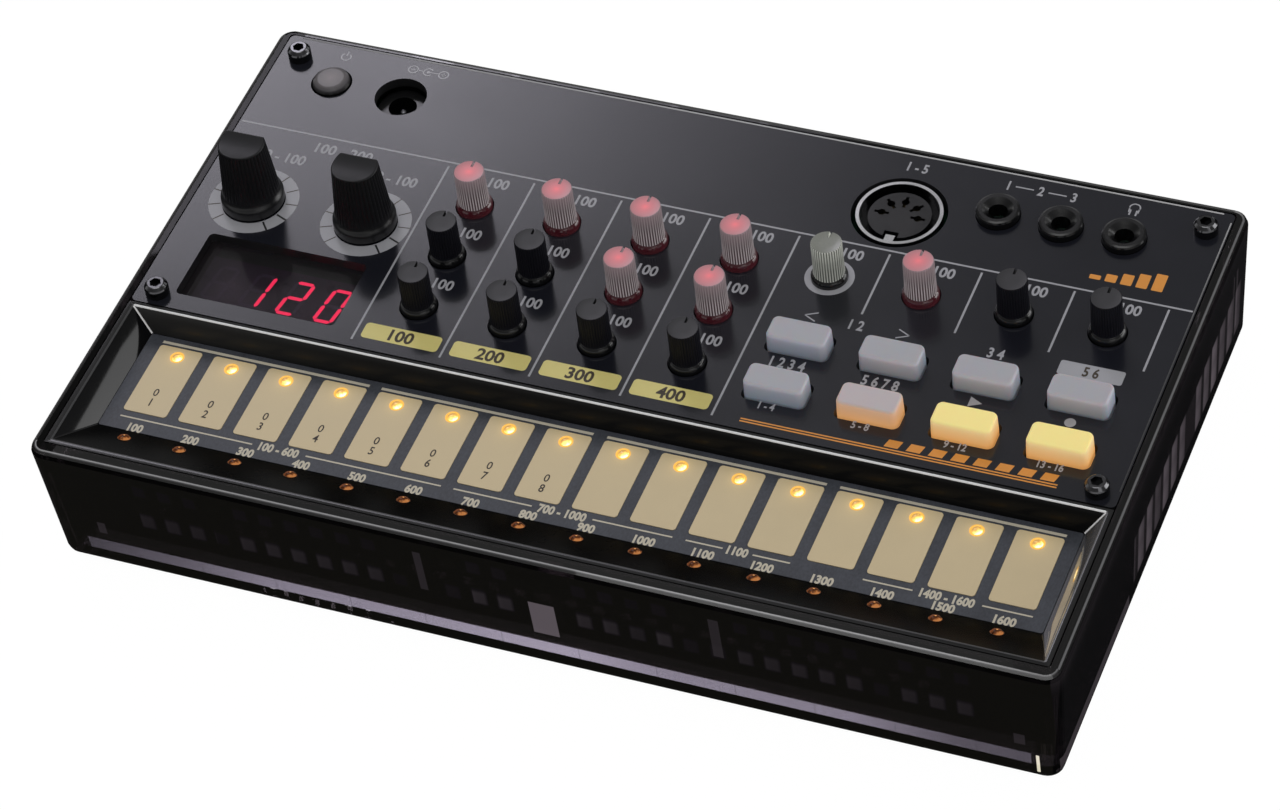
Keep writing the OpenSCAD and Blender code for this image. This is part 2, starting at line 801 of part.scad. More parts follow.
module small_knob(i) {
    p = knob_slots[i];
    r = knob_d / 2;
    c = collar_d / 2;
    top = rim_z + knob_h;
    colour = i < 4 || i == 5 || i == 10 || i == 11 ? [0.85, 0.45, 0.47]
        : i == 4 ? [0.8, 0.8, 0.78] : [0.06, 0.06, 0.06];
    color(colour) translate(p) difference() {
        union() {
            rotate_extrude() polygon([
                [0, stem_bottom], [stem_d / 2, stem_bottom], [stem_d / 2, panel_under - 0.6],
                [c, panel_under - 0.2], [c, rim_z + collar_h - 0.4], [c - 0.35, rim_z + collar_h],
                [r + 0.05, rim_z + collar_h + 0.25], [r - 0.05, rim_z + collar_h + 0.9],
                [r - 0.12, top - 0.35], [r - 0.4, top], [0, top]]);
            slab(rim_z + collar_h + 0.4, top - 0.5) star(r + 0.02, r - 0.17, knob_ribs);
        }
        // pointer notch towards the back
        translate([-0.3, 1.2, top - 0.6]) cube([0.6, r, 1]);
    }
}

module small_pots() {
    color([0.2, 0.35, 0.45]) for (p = knob_slots) translate([p[0], p[1], 0]) difference() {
        slab(board_top, board_top + pot_h) rrect(pot_size[0], pot_size[1], 0.5);
        slab(stem_bottom, board_top + pot_h + 1) circle(stem_d / 2 + run_gap);
    }
}

module large_knob(p) {
    top = rim_z + dial_h;
    base = rim_z + skirt_lift;
    grip_base = base + skirt_h + 0.7;
    grip_h = top - dial_edge - grip_base;
    facet_low = base + skirt_h + 1;
    front_y = dial_edge - grip_top_d / 2;
    run = chord - front_y;
    half = sqrt(run * run + scoop_drop * scoop_drop) / 2;
    reach = sqrt(scoop_r * scoop_r - half * half);
    tilt = atan2(scoop_drop, run);
    color([0.07, 0.07, 0.08]) translate([p[0], p[1], 0]) difference() {
        union() {
            rotate_extrude() polygon([
                [0, base], [skirt_d / 2 - 0.2, base], [skirt_d / 2, base + 0.2],
                [skirt_d / 2, base + skirt_h - 0.8], [skirt_d / 2 - 0.1, base + skirt_h - 0.4],
                [skirt_d / 2 - 0.35, base + skirt_h - 0.1], [grip_d / 2 - 0.1, grip_base],
                [grip_top_d / 2 - 0.1, top - dial_edge], [grip_top_d / 2 - 0.15, top - dial_edge / 2],
                [grip_top_d / 2 - dial_edge, top], [0, top]]);
            // fine upright ribs on the tapered grip
            translate([0, 0, grip_base]) linear_extrude(grip_h, scale = grip_top_d / grip_d)
                star(grip_d / 2, grip_d / 2 - 0.2, 40);
        }
        // facet at the back, and the scoop that rises to its edge
        translate([-grip_d, 0, 0]) rotate([90, 0, 90]) linear_extrude(2 * grip_d) polygon([
            [chord + (top - facet_low) * tan(back_lean), facet_low], [grip_d, facet_low],
            [grip_d, top + 1], [chord - tan(back_lean), top + 1]]);
        translate([-grip_d, (front_y + chord) / 2 - reach * sin(tilt),
            top - scoop_drop / 2 + reach * cos(tilt)])
            rotate([0, 90, 0]) cylinder(r = scoop_r, h = 2 * grip_d, $fn = 96);
        slab(base - 1, base + 1.4) circle(grip_d / 2 - 1.4);
        slab(base - 1, shaft_top + 0.2) circle(shaft_d / 2 + run_gap);
    }
}

module large_shaft(p) {
    color("silver") translate([p[0], p[1], 0]) difference() {
        slab(stem_bottom, shaft_top) circle(shaft_d / 2);
        translate([-shaft_d, shaft_d / 2 - 1.5, rim_z + 3]) cube([2 * shaft_d, shaft_d, dial_h]);
    }
}

module large_pots() {
    color([0.2, 0.35, 0.45]) for (p = dials) translate([p[0], p[1], 0]) difference() {
        slab(board_top, board_top + pot_h + 0.6) rrect(dial_pot_size[0], dial_pot_size[1], 0.5);
        slab(stem_bottom, rim_z) circle(shaft_d / 2 + run_gap);
    }
}

// ---- push buttons ----

module push_button(i) {
    r = 1.2;
    round = 0.8;
    top = rim_z + button_h;
    under = board_top + switch_h + button_travel + press_gap;
    colour = i >= 6 ? [0.9, 0.82, 0.5] : [0.62, 0.65, 0.72];
    hx = button_w / 2;
    hy = button_d / 2;
    color(colour) translate(buttons[i]) {
        loft(concat(
            [ring(-hx, hx, -hy, hy, r, panel_under - 0.2)],
            [for (a = [0, 30, 60, 90]) let (in = round * (1 - cos(a)))
                ring(in - hx, hx - in, in - hy, hy - in, r - in, top - round * (1 - sin(a)))]));
        slab(panel_under - flange_t - 0.1, panel_under - 0.1)
            rrect(button_w + 2 * (button_gap + flange_over), button_d + 2 * (button_gap + flange_over), 1.5);
        slab(under, panel_under - flange_t) rrect(6, 4, 0.5);
    }
}

module button_switches() {
    color([0.2, 0.2, 0.2]) for (p = buttons) translate([p[0], p[1], 0]) {
        slab(board_top, board_top + switch_h - 0.5) rrect(6, 6, 0.4);
        slab(board_top + switch_h - 0.5 - eps, board_top + switch_h) circle(1.7);
    }
}

// ---- boards, speaker and batteries ----

module control_board() {
    color([0.1, 0.35, 0.2]) slab(board_top - board_t, board_top)
        rrect_edges(-board_x, board_x, board_front, board_back, 1);
}

module key_board() {
    color([0.1, 0.35, 0.2]) slab(key_board_top - board_t, key_board_top)
        rrect_edges(-board_x, board_x, key_board_front, key_board_back, 1);
}

module speaker() {
    color([0.1, 0.1, 0.1]) translate([speaker_at[0], speaker_at[1], floor_z]) rotate_extrude() polygon([
        [0, 1.2], [3, 0.8], [speaker_r - cone_rim, 0.4], [speaker_r - cone_rim + 1, 1.2],
        [speaker_r - cone_rim + 2, 0.4], [speaker_r - cone_rim + 2, 0], [speaker_r, 0], [speaker_r, 1.4],
        [speaker_r - 3, basket_h - 1.2], [magnet_r, basket_h], [magnet_r, basket_h + magnet_h],
        [0, basket_h + magnet_h]]);
}

module battery_box() {
    color([0.05, 0.05, 0.06]) difference() {
        union() {
            slab(floor_z, box_top) rrect_edges(-box_x, box_x, box_front, box_back, 1);
            // flange that stands on the case floor round the door opening
            slab(floor_z, floor_z + box_wall)
                rrect_edges(-box_x - 4, box_x + 4, box_front - 4, box_back, 1);
        }
        slab(floor_z - 1, box_top - box_wall)
            rrect_edges(-box_x + box_wall, box_x - box_wall, box_front + box_wall, box_back - box_wall, 0.5);
    }
}

// plates at both ends of the box and the coiled springs on the left one
module battery_contacts() {
    color("silver") {
        for (sx = [-1, 1], y = cell_ys)
            translate([sx * (box_x - box_wall - contact_t / 2), y, cell_z])
                cube([contact_t, cell_d - 4, cell_d - 4], center = true);
        for (y = cell_ys, i = [0:2])
            translate([-box_x + box_wall + contact_t + wire_r * (1 + 2 * i), y, cell_z])
                rotate([0, 90, 0])
                rotate_extrude() translate([4.2 - i * 0.7, 0]) circle(wire_r, $fn = 16);
    }
}

module batteries() {
    right_end = box_x - box_wall - contact_t;
    color([0.35, 0.36, 0.4]) for (y = cell_ys, i = [0:1])
        translate([right_end - i * cell_l, y, cell_z]) rotate([0, -90, 0]) {
            cylinder(h = 1, d = 5.2);
            translate([0, 0, 1 - eps]) cylinder(h = cell_l - 1, d = cell_d);
        }
}

lower_case();
inner_frame();
front_panel();
key_bezel();
key_sheet();
key_pads();
key_lamps();
bezel_lamps();
panel_screws();
display_window();
display_module();
din_shell();
din_insert();
din_contacts();
mini_jacks();
mini_jack_bushings();
dc_jack();
dc_jack_pin();
power_switch();
small_pots();
large_pots();
control_board();
key_board();
button_switches();
speaker();
battery_box();
battery_contacts();
batteries();
battery_door();
rubber_feet();
case_screws();
power_button();
large_knob(dials[0]);  // large_knob_left
large_knob(dials[1]);  // large_knob_right
large_shaft(dials[0]);  // large_shaft_left
large_shaft(dials[1]);  // large_shaft_right
small_knob(0);  // small_knob_1
small_knob(1);  // small_knob_2
small_knob(2);  // small_knob_3
small_knob(3);  // small_knob_4
small_knob(4);  // small_knob_5
small_knob(5);  // small_knob_6
small_knob(6);  // small_knob_7
small_knob(7);  // small_knob_8
small_knob(8);  // small_knob_9
small_knob(9);  // small_knob_10
small_knob(10);  // small_knob_11
small_knob(11);  // small_knob_12
small_knob(12);  // small_knob_13
small_knob(13);  // small_knob_14
small_knob(14);  // small_knob_15
small_knob(15);  // small_knob_16
push_button(0);  // push_button_1
push_button(1);  // push_button_2
push_button(2);  // push_button_3
push_button(3);  // push_button_4
push_button(4);  // push_button_5
push_button(5);  // push_button_6
push_button(6);  // push_button_7
push_button(7);  // push_button_8
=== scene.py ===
"""Drum machine in a smoked case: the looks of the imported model. Lengths are millimetres in the object's
own frame, and become metres where a mesh, a light or the camera is made."""
import math

import bmesh
import bpy
from mathutils import Matrix, Vector


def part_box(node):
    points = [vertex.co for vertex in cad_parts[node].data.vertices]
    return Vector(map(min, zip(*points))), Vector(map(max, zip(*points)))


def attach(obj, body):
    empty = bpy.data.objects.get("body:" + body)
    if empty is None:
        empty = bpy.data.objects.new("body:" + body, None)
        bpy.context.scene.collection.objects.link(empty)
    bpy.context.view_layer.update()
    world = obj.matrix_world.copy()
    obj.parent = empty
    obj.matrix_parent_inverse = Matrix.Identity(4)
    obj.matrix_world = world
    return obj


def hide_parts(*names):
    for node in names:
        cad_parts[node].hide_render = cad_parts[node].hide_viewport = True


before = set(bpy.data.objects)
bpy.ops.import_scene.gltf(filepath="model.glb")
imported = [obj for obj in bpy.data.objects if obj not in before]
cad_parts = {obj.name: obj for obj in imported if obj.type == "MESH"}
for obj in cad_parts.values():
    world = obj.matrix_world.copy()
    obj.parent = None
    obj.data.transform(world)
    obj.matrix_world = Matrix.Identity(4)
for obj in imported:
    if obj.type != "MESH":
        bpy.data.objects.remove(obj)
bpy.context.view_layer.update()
MM = 0.001

# ---- sizes and places
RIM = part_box("front_panel")[1].z / MM  # top of the panel
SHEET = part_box("key_sheet")[1].z / MM  # top of the sheet over the keys
CASE_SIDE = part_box("lower_case")[1].x / MM  # outside of the right wall
CASE_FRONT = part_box("lower_case")[0].y / MM  # outside of the front wall
WALL = 1.9  # reach of the front wall's outer face, its lean included
FLANK = 1.5  # the same of a side wall
CORNER = 3.1  # radius of the case's upright edges

COLUMN = 17.54  # from one column of knobs or buttons to the next
FIRST_KNOB_X, FIRST_BUTTON_X = -41.8, 28.9
KNOB_ROWS = ((21.75, 28.3, 8), (8.25, 14.6, 4), (-5.25, 1.1, 4))  # axes, labels, number of knobs
KNOB_AXES = [(FIRST_KNOB_X + c * COLUMN, y) for y, _, count in KNOB_ROWS for c in range(count)]
KNOB_KINDS = {5: "clear", **dict.fromkeys((1, 2, 3, 4, 6, 11, 12), "pink")}  # all others are black
KNOB_TOP = 8.95
KNOB_RIBS = 36
GRIP_FOOT, GRIP_HEAD = 1.6, 8.8  # heights between which the lit knobs change their tone
DIALS = {"left": (-82.95, 12.05), "right": (-59.9, 12.05)}
BUTTONS = [(FIRST_BUTTON_X + c * COLUMN, y) for y in (4.4, -7.6) for c in range(4)]
HALF_LIT, FULLY_LIT = 6, 7  # numbers of the half-lit button and of the first fully lit one
BUTTON_TOP = 3.6
KEY_PITCH = 11.03
KEY_XS = [(i - 7.5) * KEY_PITCH + 0.1 for i in range(16)]
LAMP_Y = -25.2
BEZEL_LAMP_Y = -47.55


# ---- meshes
class Build:
    """Collects polygons in millimetres, each with a material index."""

    def __init__(self):
        self.verts, self.faces, self.mats = [], [], []

    def add(self, verts, faces, mat=0):
        base = len(self.verts)
        self.verts += [tuple(v) for v in verts]
        self.faces += [tuple(base + i for i in f) for f in faces]
        self.mats += [mat] * len(faces)

    def loops(self, loops, mat=0, cap_low=False, cap_high=False, mats=None):
        """Skins closed loops that have the same number of points; mats gives each band its index."""
        n = len(loops[0])
        bands = mats or [mat] * (len(loops) - 1)
        base = len(self.verts)
        for loop in loops:
            self.verts += [tuple(v) for v in loop]
        for j, index in enumerate(bands):
            for i in range(n):
                a, b = base + j * n + i, base + j * n + (i + 1) % n
                self.faces.append((a, b, b + n, a + n))
                self.mats.append(index)
        if cap_low:
            self.faces.append(tuple(base + i for i in reversed(range(n))))
            self.mats.append(bands[0])
        if cap_high:
            self.faces.append(tuple(base + (len(loops) - 1) * n + i for i in range(n)))
            self.mats.append(bands[-1])

    def prism(self, outline, z0, z1, mat=0):
        self.loops([at_z(outline, z0), at_z(outline, z1)], mat, True, True)

    def object(self, name, looks, at=(0, 0, 0), smooth=35):
        """Welded object that wears the named looks; smooth is the angle up to which edges are soft."""
        mesh = bpy.data.meshes.new(name)
        mesh.from_pydata([(x * MM, y * MM, z * MM) for x, y, z in self.verts], [], self.faces)
        for look in looks:
            mesh.materials.append(MAT[look])
        mesh.polygons.foreach_set("material_index", self.mats)
        bm = bmesh.new()
        bm.from_mesh(mesh)
        bmesh.ops.remove_doubles(bm, verts=bm.verts, dist=1e-7)
        bmesh.ops.recalc_face_normals(bm, faces=bm.faces)
        bm.to_mesh(mesh)
        bm.free()
        finish_mesh(mesh, smooth)
        return place(name, mesh, at)


def finish_mesh(mesh, smooth):
    """Shades a mesh smooth, with sharp edges past the given angle, or flat where it is 0."""
    mesh.polygons.foreach_set("use_smooth", [smooth > 0] * len(mesh.polygons))
    if smooth > 0:
        mesh.set_sharp_from_angle(angle=math.radians(smooth))
    mesh.update()


def place(name, data, at=(0, 0, 0)):
    obj = bpy.data.objects.new(name, data)
    bpy.context.scene.collection.objects.link(obj)
    obj.location = Vector(at) * MM
    return obj


def dress(obj, body, slot, *nodes):
    """Puts a piece on its body and hides the solids that it stands for; slot is not used."""
    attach(obj, body)
    if nodes:
        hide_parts(*nodes)


def circle(r, n, x=0.0, y=0.0):
    turns = [2 * math.pi * i / n for i in range(n)]
    return [(x + r * math.cos(a), y + r * math.sin(a)) for a in turns]


def rrect(x0, x1, y0, y1, r, n=8):
    """Rounded rectangle, anticlockwise, n points to a corner."""
    out = []
    for c, (cx, cy) in enumerate([(x1 - r, y1 - r), (x0 + r, y1 - r), (x0 + r, y0 + r), (x1 - r, y0 + r)]):
        for k in range(n):
            a = math.pi / 2 * (c + k / (n - 1))
            out.append((cx + r * math.cos(a), cy + r * math.sin(a)))
    return out


def at_z(outline, z):
    return [(x, y, z) for x, y in outline]


def lathe(profile, n, x=0.0, y=0.0):
    """Loops of a turned form; profile is (radius, height) from the bottom up."""
    return [at_z(circle(r, n, x, y), z) for r, z in profile]


# ---- material nodes
MAT = {}  # every material by its name
SOCKETS = {
    "metal": "Metallic",
    "ior": "IOR",
    "spec": "Specular IOR Level",
    "clear": "Transmission Weight",
    "coat": "Coat Weight",
    "coat_rough": "Coat Roughness",
    "glow": "Emission Color",
    "glow_power": "Emission Strength",
    "skin": "Subsurface Weight",
    "skin_scale": "Subsurface Scale",
}
MIX_A, MIX_B = 6, 7  # a Mix node's two colour sockets


def srgb(r, g, b):
    """Colour given as 0 to 255 numbers, turned into linear light."""
    return tuple(c / 255 / 12.92 if c <= 10 else ((c / 255 + 0.055) / 1.055) ** 2.4 for c in (r, g, b))


def rgba(value):
    """Tuple for a colour socket, from a colour or a level of grey."""
    return (*value, 1) if isinstance(value, tuple) else (value, value, value, 1)


def material(name, color, rough=0.5, **more):
    m = bpy.data.materials.new(name)
    m.use_nodes = True
    bsdf = bsdf_of(m)
    bsdf.inputs["Base Color"].default_value = rgba(color)
    bsdf.inputs["Roughness"].default_value = rough
    for key, value in more.items():
        bsdf.inputs[SOCKETS[key]].default_value = rgba(value) if isinstance(value, tuple) else value
    MAT[name] = m
    return m


def bsdf_of(m):
    return m.node_tree.nodes["Principled BSDF"]


def node(tree, kind, **values):
    """New node; values are its sockets' and its own properties."""
    n = tree.nodes.new(kind)
    for key, value in values.items():
        if key in n.inputs:
            n.inputs[key].default_value = value
        else:
            setattr(n, key, value)
    return n


def operator(operation, swapped=False):
    """Method by which a Python operator adds a Math node."""
    if swapped:
        return lambda a, b: math_node(operation, b, a)
    return lambda a, b=0.0: math_node(operation, a, b)


class Field:
    """A value that changes over a surface. Arithmetic with it adds Math nodes."""

    __add__ = operator("ADD")
    __sub__ = operator("SUBTRACT")
    __rsub__ = operator("SUBTRACT", swapped=True)
    __mul__ = operator("MULTIPLY")
    __truediv__ = operator("DIVIDE")
    __gt__ = operator("GREATER_THAN")
    __lt__ = operator("LESS_THAN")
    __abs__ = operator("ABSOLUTE")

    def __init__(self, tree, socket):
        self.tree, self.socket = tree, socket

    def into(self, socket):
        self.tree.links.new(self.socket, socket)


def math_node(operation, a, b=0.0, clamp=False):
    """Math node on two values, of which at least one is a Field."""
    tree = (a if isinstance(a, Field) else b).tree
    n = node(tree, "ShaderNodeMath", operation=operation, use_clamp=clamp)
    for socket, value in zip(n.inputs, (a, b)):
        if isinstance(value, Field):
            value.into(socket)
        else:
            socket.default_value = value
    return Field(tree, n.outputs[0])


def larger(a, b):
    return math_node("MAXIMUM", a, b)


def between(value, low, high):
    """1 where low < value < high, else 0."""
    return (value > low) * (value < high)


def within(u, u0, u1, v, v0, v1):
    """1 inside a rectangle of two coordinates, else 0."""
    return between(u, u0, u1) * between(v, v0, v1)


def portion(value, low, high):
    """0 at low, 1 at high, held at these beyond them."""
    return math_node("DIVIDE", value - low, high - low, clamp=True)


def ramp(fac, stops, interpolation="LINEAR"):
    """Colour or level of grey that follows fac through (position, value) stops."""
    n = fac.tree.nodes.new("ShaderNodeValToRGB")
    n.color_ramp.interpolation = interpolation
    fac.into(n.inputs[0])
    elements = n.color_ramp.elements
    while len(elements) < len(stops):
        elements.new(0.5)
    for element, (position, value) in zip(elements, stops):
        element.position = position
        element.color = rgba(value)
    return Field(fac.tree, n.outputs[0])


def steps(value, levels, low, high):
    """Level that changes in steps along a length; levels is a list of (start, level)."""
    stops = [((start - low) / (high - low), level) for start, level in levels]
    return ramp(portion(value, low, high), stops, "CONSTANT")


def mix_color(fac, a, b):
    """From colour a where fac is 0 to colour b where it is 1."""
    n = node(fac.tree, "ShaderNodeMix", data_type="RGBA")
    fac.into(n.inputs["Factor"])
    for index, value in ((MIX_A, a), (MIX_B, b)):
        if isinstance(value, Field):
            value.into(n.inputs[index])
        else:
            n.inputs[index].default_value = rgba(value)
    return Field(fac.tree, n.outputs[2])


def coords(tree):
    """The object's own coordinates, in metres."""
    return tree.nodes.new("ShaderNodeTexCoord").outputs["Object"]


def axes(m):
    """The object's own x, y and z over a surface, in millimetres."""
    tree = m.node_tree
    scaled = node(tree, "ShaderNodeVectorMath", operation="SCALE", Scale=1 / MM)
    tree.links.new(coords(tree), scaled.inputs[0])
    split = tree.nodes.new("ShaderNodeSeparateXYZ")
    tree.links.new(scaled.outputs[0], split.inputs[0])
    return [Field(tree, out) for out in split.outputs]


def from_axis(m, reach, centre=(0.0, 0.0)):
    """Distance from an upright axis, 1 at reach and beyond."""
    x, y, _ = axes(m)
    dx, dy = x - centre[0], y - centre[1]
    return math_node("DIVIDE", math_node("SQRT", dx * dx + dy * dy), reach, clamp=True)


def from_lamp(m, row):
    """How far right and back a point lies of the lamp of its key; row is the lamps' place in depth."""
    x, y, _ = axes(m)
    key = math_node("FRACT", (x - (KEY_XS[0] - KEY_PITCH / 2)) / KEY_PITCH)
    return (key - 0.5) * KEY_PITCH, y - row


def noise(tree, size, vector, detail, rough=0.5):
    """Noise with features of a size in millimetres."""
    n = node(tree, "ShaderNodeTexNoise", Scale=1 / (size * MM), Detail=detail, Roughness=rough)
    tree.links.new(vector, n.inputs["Vector"])
    return Field(tree, n.outputs["Fac"])


def relief(m, height, strength, depth):
    """Bump from a noise; depth is in millimetres."""
    bump = node(m.node_tree, "ShaderNodeBump", Strength=strength, Distance=depth * MM)
    height.into(bump.inputs["Height"])
    m.node_tree.links.new(bump.outputs[0], bsdf_of(m).inputs["Normal"])


def paint(m, color, glow=None):
    """Colour, and light of its own, from fields."""
    inputs = bsdf_of(m).inputs
    color.into(inputs["Base Color"])
    if glow:
        glow.into(inputs["Emission Color"])
        inputs["Emission Strength"].default_value = 1.0


# ---- kinds of surface
def surface(name, color, grain, bump, rough, tint=0.1, haze=6.0, stretch=(1, 1, 1), **more):
    """Material with a grain: a fine bump, uneven gloss and a slight change of tone. grain and haze are
    the sizes of the fine and the broad pattern, rough is the least and the most roughness."""
    m = material(name, color, sum(rough) / 2, **more)
    tree = m.node_tree
    mapping = node(tree, "ShaderNodeMapping", Scale=stretch)
    tree.links.new(coords(tree), mapping.inputs["Vector"])
    fine = noise(tree, grain, mapping.outputs[0], 3.0, 0.6)
    broad = noise(tree, haze, mapping.outputs[0], 4.0, 0.55)
    relief(m, fine, bump, grain * 0.2)
    gloss = {"From Min": 0.3, "From Max": 0.7, "To Min": rough[0], "To Max": rough[1]}
    spread = node(tree, "ShaderNodeMapRange", **gloss)
    broad.into(spread.inputs["Value"])
    tree.links.new(spread.outputs[0], bsdf_of(m).inputs["Roughness"])
    if tint:
        low = tuple(c * (1 - tint) for c in color)
        high = tuple(min(1.0, c * (1 + tint)) for c in color)
        paint(m, ramp((fine + broad) * 0.5, [(0.35, low), (0.65, high)]))
    return m


def graded(name, stops, low, high, glow=None, **more):
    """Material whose colour follows the height over the piece's own origin."""
    m = material(name, stops[0][1], **more)
    height = portion(axes(m)[2], low, high)
    paint(m, ramp(height, stops), ramp(height, glow) if glow else None)
    relief(m, noise(m.node_tree, 0.5, coords(m.node_tree), 2.0), 0.03, 0.05)


def ribbed_grip(name, haze, light, dark, fade, glow, **more):
    """Translucent ribbed grip: haze above, light ribs with dark gaps below, which are painted light and shade
    of the ribs; the grip's own colour also glows a little, a painted glow whose strength is glow. fade gives
    how strongly the ribs show from the foot of the grip to its top."""
    m = material(name, haze[0][1], **more)
    x, y, z = axes(m)
    wave = math_node("COSINE", math_node("ARCTAN2", y, x) * KNOB_RIBS)
    painted_rib_light = ramp(wave * -0.5 + 0.5, [(0.25, dark), (0.85, light)])
    height = portion(z, GRIP_FOOT, GRIP_HEAD)
    look = mix_color(ramp(height, fade), ramp(height, haze), painted_rib_light)
    paint(m, look, look)
    bsdf_of(m).inputs["Emission Strength"].default_value = glow


def sparkle(name, row, reach, tones, base, **more):
    """Lens that glows, one to a key: tones are (far, middle, near, spot) light, from the back left
    to the front right, with an uneven bright spot. reach is the lens's radius. In the keys the glow is
    their lamps' own light; on the surround's front slope the glow and its spot are painted glints of the
    keys' lamps."""
    m = material(name, base, 0.15, glow_power=1.0, **more)
    dx, dy = from_lamp(m, row)
    uneven = (noise(m.node_tree, 0.55 * reach, coords(m.node_tree), 2.0) - 0.5) * 0.66
    across = math_node("ADD", (dx - dy) * (0.36 / reach) + 0.5, uneven, clamp=True)
    far, middle, near, spot = tones
    light = ramp(across, [(0.0, far), (0.38, far), (0.55, middle), (0.75, near), (0.92, spot)])
    light.into(bsdf_of(m).inputs["Emission Color"])


def painted_edge_highlight(name, axis, low, high, stops):
    """Bare edge of the panel, painted with a highlight whose brightness follows stops along the axis; low and
    high are places on the axis.
    """
    m = surface(name, (0.3, 0.3, 0.31), 0.3, 0.02, (0.35, 0.45), tint=0)
    paint(m, ramp(portion(axes(m)[axis], low, high), stops))


# ---- the smoked case
SMOKE = (0.004, 0.003, 0.0035)
# pale colour of the painted highlight along the rim
PAINTED_RIM_HIGHLIGHT_TONE = (0.44, 0.44, 0.45)
# colours of the painted glows over the front wall and where the frame's slots show through
PAINTED_GLOW_TONE, PAINTED_SLOT_GLOW_TONE = (1.0, 0.93, 0.72), (1.0, 0.84, 0.96)  # of the front wall and of the slots' light
BAND_TINT = (0.60, 0.565, 0.64)
BAND_X, BAND_Z = (-89.3, 91.0), (6.4, 9.5)  # the clear band of the front wall
SLIT_X, SLIT_Z = (91.9, 92.5), (4.6, 9.3)  # the slit at its right end
JOINT_X, JOINT_PITCH = -96.0, 14.75  # darker joints in the band
# tint of the clear band from the left end to the right, lighter and darker along it as painted light and
# shade
BAND_PAINTED_LEVELS = (
    (0.03, 0.42), (0.13, 0.6), (0.22, 0.86), (0.38, 0.98), (0.52, 1.1), (0.62, 0.9), (0.8, 0.86), (0.9, 0.55),
    (0.98, 0.5),
)
# how strongly the painted glow of the inner frame's slots shows along the front wall, and along the side
# walls
FRONT_LEVELS = (
    (-97, 0), (-77, 0.75), (-62, 0.1), (-57, 1), (-27, 0.1), (-22, 0), (-17, 0.25), (-12, 1.5), (-2.5, 0),
    (8, 1.25), (17, 0.7), (22.5, 1.3), (28, 0.25), (38, 0.9), (62, 0.15), (67.5, 0.85), (82, 0),
)
SIDE_LEVELS = (
    (-60, 0), (-14.2, 0.4), (-12.0, 0.85), (-6.9, 1), (-1.9, 0.5), (3.1, 1), (8.1, 0.95), (13.1, 0.85),
    (18.0, 0.0), (23.1, 0.95), (28.1, 0.85), (33.1, 1.25), (38.1, 0.7), (43.1, 0.85), (48.1, 0.5), (52.0, 0),
)
SLOT_X, SLOT_Y, SLOT_PITCH = -76.7, -11.7, 5
CASE_END = 97  # half the width that the levels of the front run over


def clear_places(x, y, z, slit):
    """Where light crosses the case: the band of the front wall that is left open under the inner
    frame, the strip behind it, the floor, and the slit at the band's right end."""
    joint = math_node("FRACT", (x - JOINT_X) / JOINT_PITCH) < 0.02
    outside = y < CASE_FRONT + WALL
    band = outside * within(z, *BAND_Z, x, *BAND_X) * (1 - joint * 0.3)
    behind = within(y, CASE_FRONT + WALL, CASE_FRONT + 5.2, z, 4.8, 8.2) * (abs(x) < 94)
    floor = (abs(x) < CASE_SIDE - 4.2) * (z < 5.2) * between(y, CASE_FRONT + 4.3, -CASE_FRONT - 3)
    return larger(larger(band, behind), larger(floor, slit))


def painted_rim_highlight(x, y, z):
    """Painted highlight on the polished rim: how strongly it shows, by its distance from the case's outer
    edge.
    """
    qx, qy = abs(x) - (CASE_SIDE - CORNER), abs(y) - (-CASE_FRONT - CORNER)
    px, py = larger(qx, 0.0), larger(qy, 0.0)
    past_corner = math_node("SQRT", px * px + py * py)
    before_corner = math_node("MINIMUM", larger(qx, qy), 0.0)
    depth = portion(CORNER - (past_corner + before_corner), 0.0, 2.0)
    bold = ramp(depth, [(0.32, 0.0), (0.42, 0.15), (0.49, 0.9), (0.54, 0.9), (0.60, 0.0)])
    thin = ramp(depth, [(0.30, 0.0), (0.36, 1.0), (0.47, 1.0), (0.54, 0.0)])
    top = z > RIM - 0.7
    forward = y < CASE_FRONT + CORNER
    front = bold * forward * top * (1 - portion(x, 82, 106))
    right = thin * (x > CASE_SIDE - CORNER) * top * (1 - forward)
    return larger(front, right * 0.34)


def painted_front_slot_glow(x, z):
    """Painted glow that stands in for the light from the slots of the inner frame, seen through the front
    wall.
    """
    slot = math_node("FRACT", (x - SLOT_X) / SLOT_PITCH)
    tooth = ramp(slot, [(0.0, 0.0), (0.09, 1.0), (0.25, 0.85), (0.5, 0.8), (0.64, 0.0)])
    lower_row = [(0.14, 0.0), (0.18, 0.9), (0.34, 1.0), (0.40, 0.1), (0.46, 0.0)]
    upper_row = [(0.68, 0.0), (0.72, 0.14), (0.86, 0.14), (0.92, 0.0)]
    rows = ramp(portion(z, 14, 30), lower_row + upper_row)
    patches = tooth * steps(x, FRONT_LEVELS, -CASE_END, CASE_END) * rows * (x < 82)
    tall = within(x, -21.6, -20.1, z, 17.0, 27.6) + within(x, 33.9, 35.8, z, 16.9, 27.4)
    window = within(x, -0.6, 4.3, z, 11.8, 20.5)
    corners = within(x, -86.4, -84.8, z, 11.6, 14.6) + within(x, 88.2, 90.2, z, 11.6, 14.4)
    return patches * 0.012 + tall * 0.014 + (window * 0.085 + corners * 0.015)


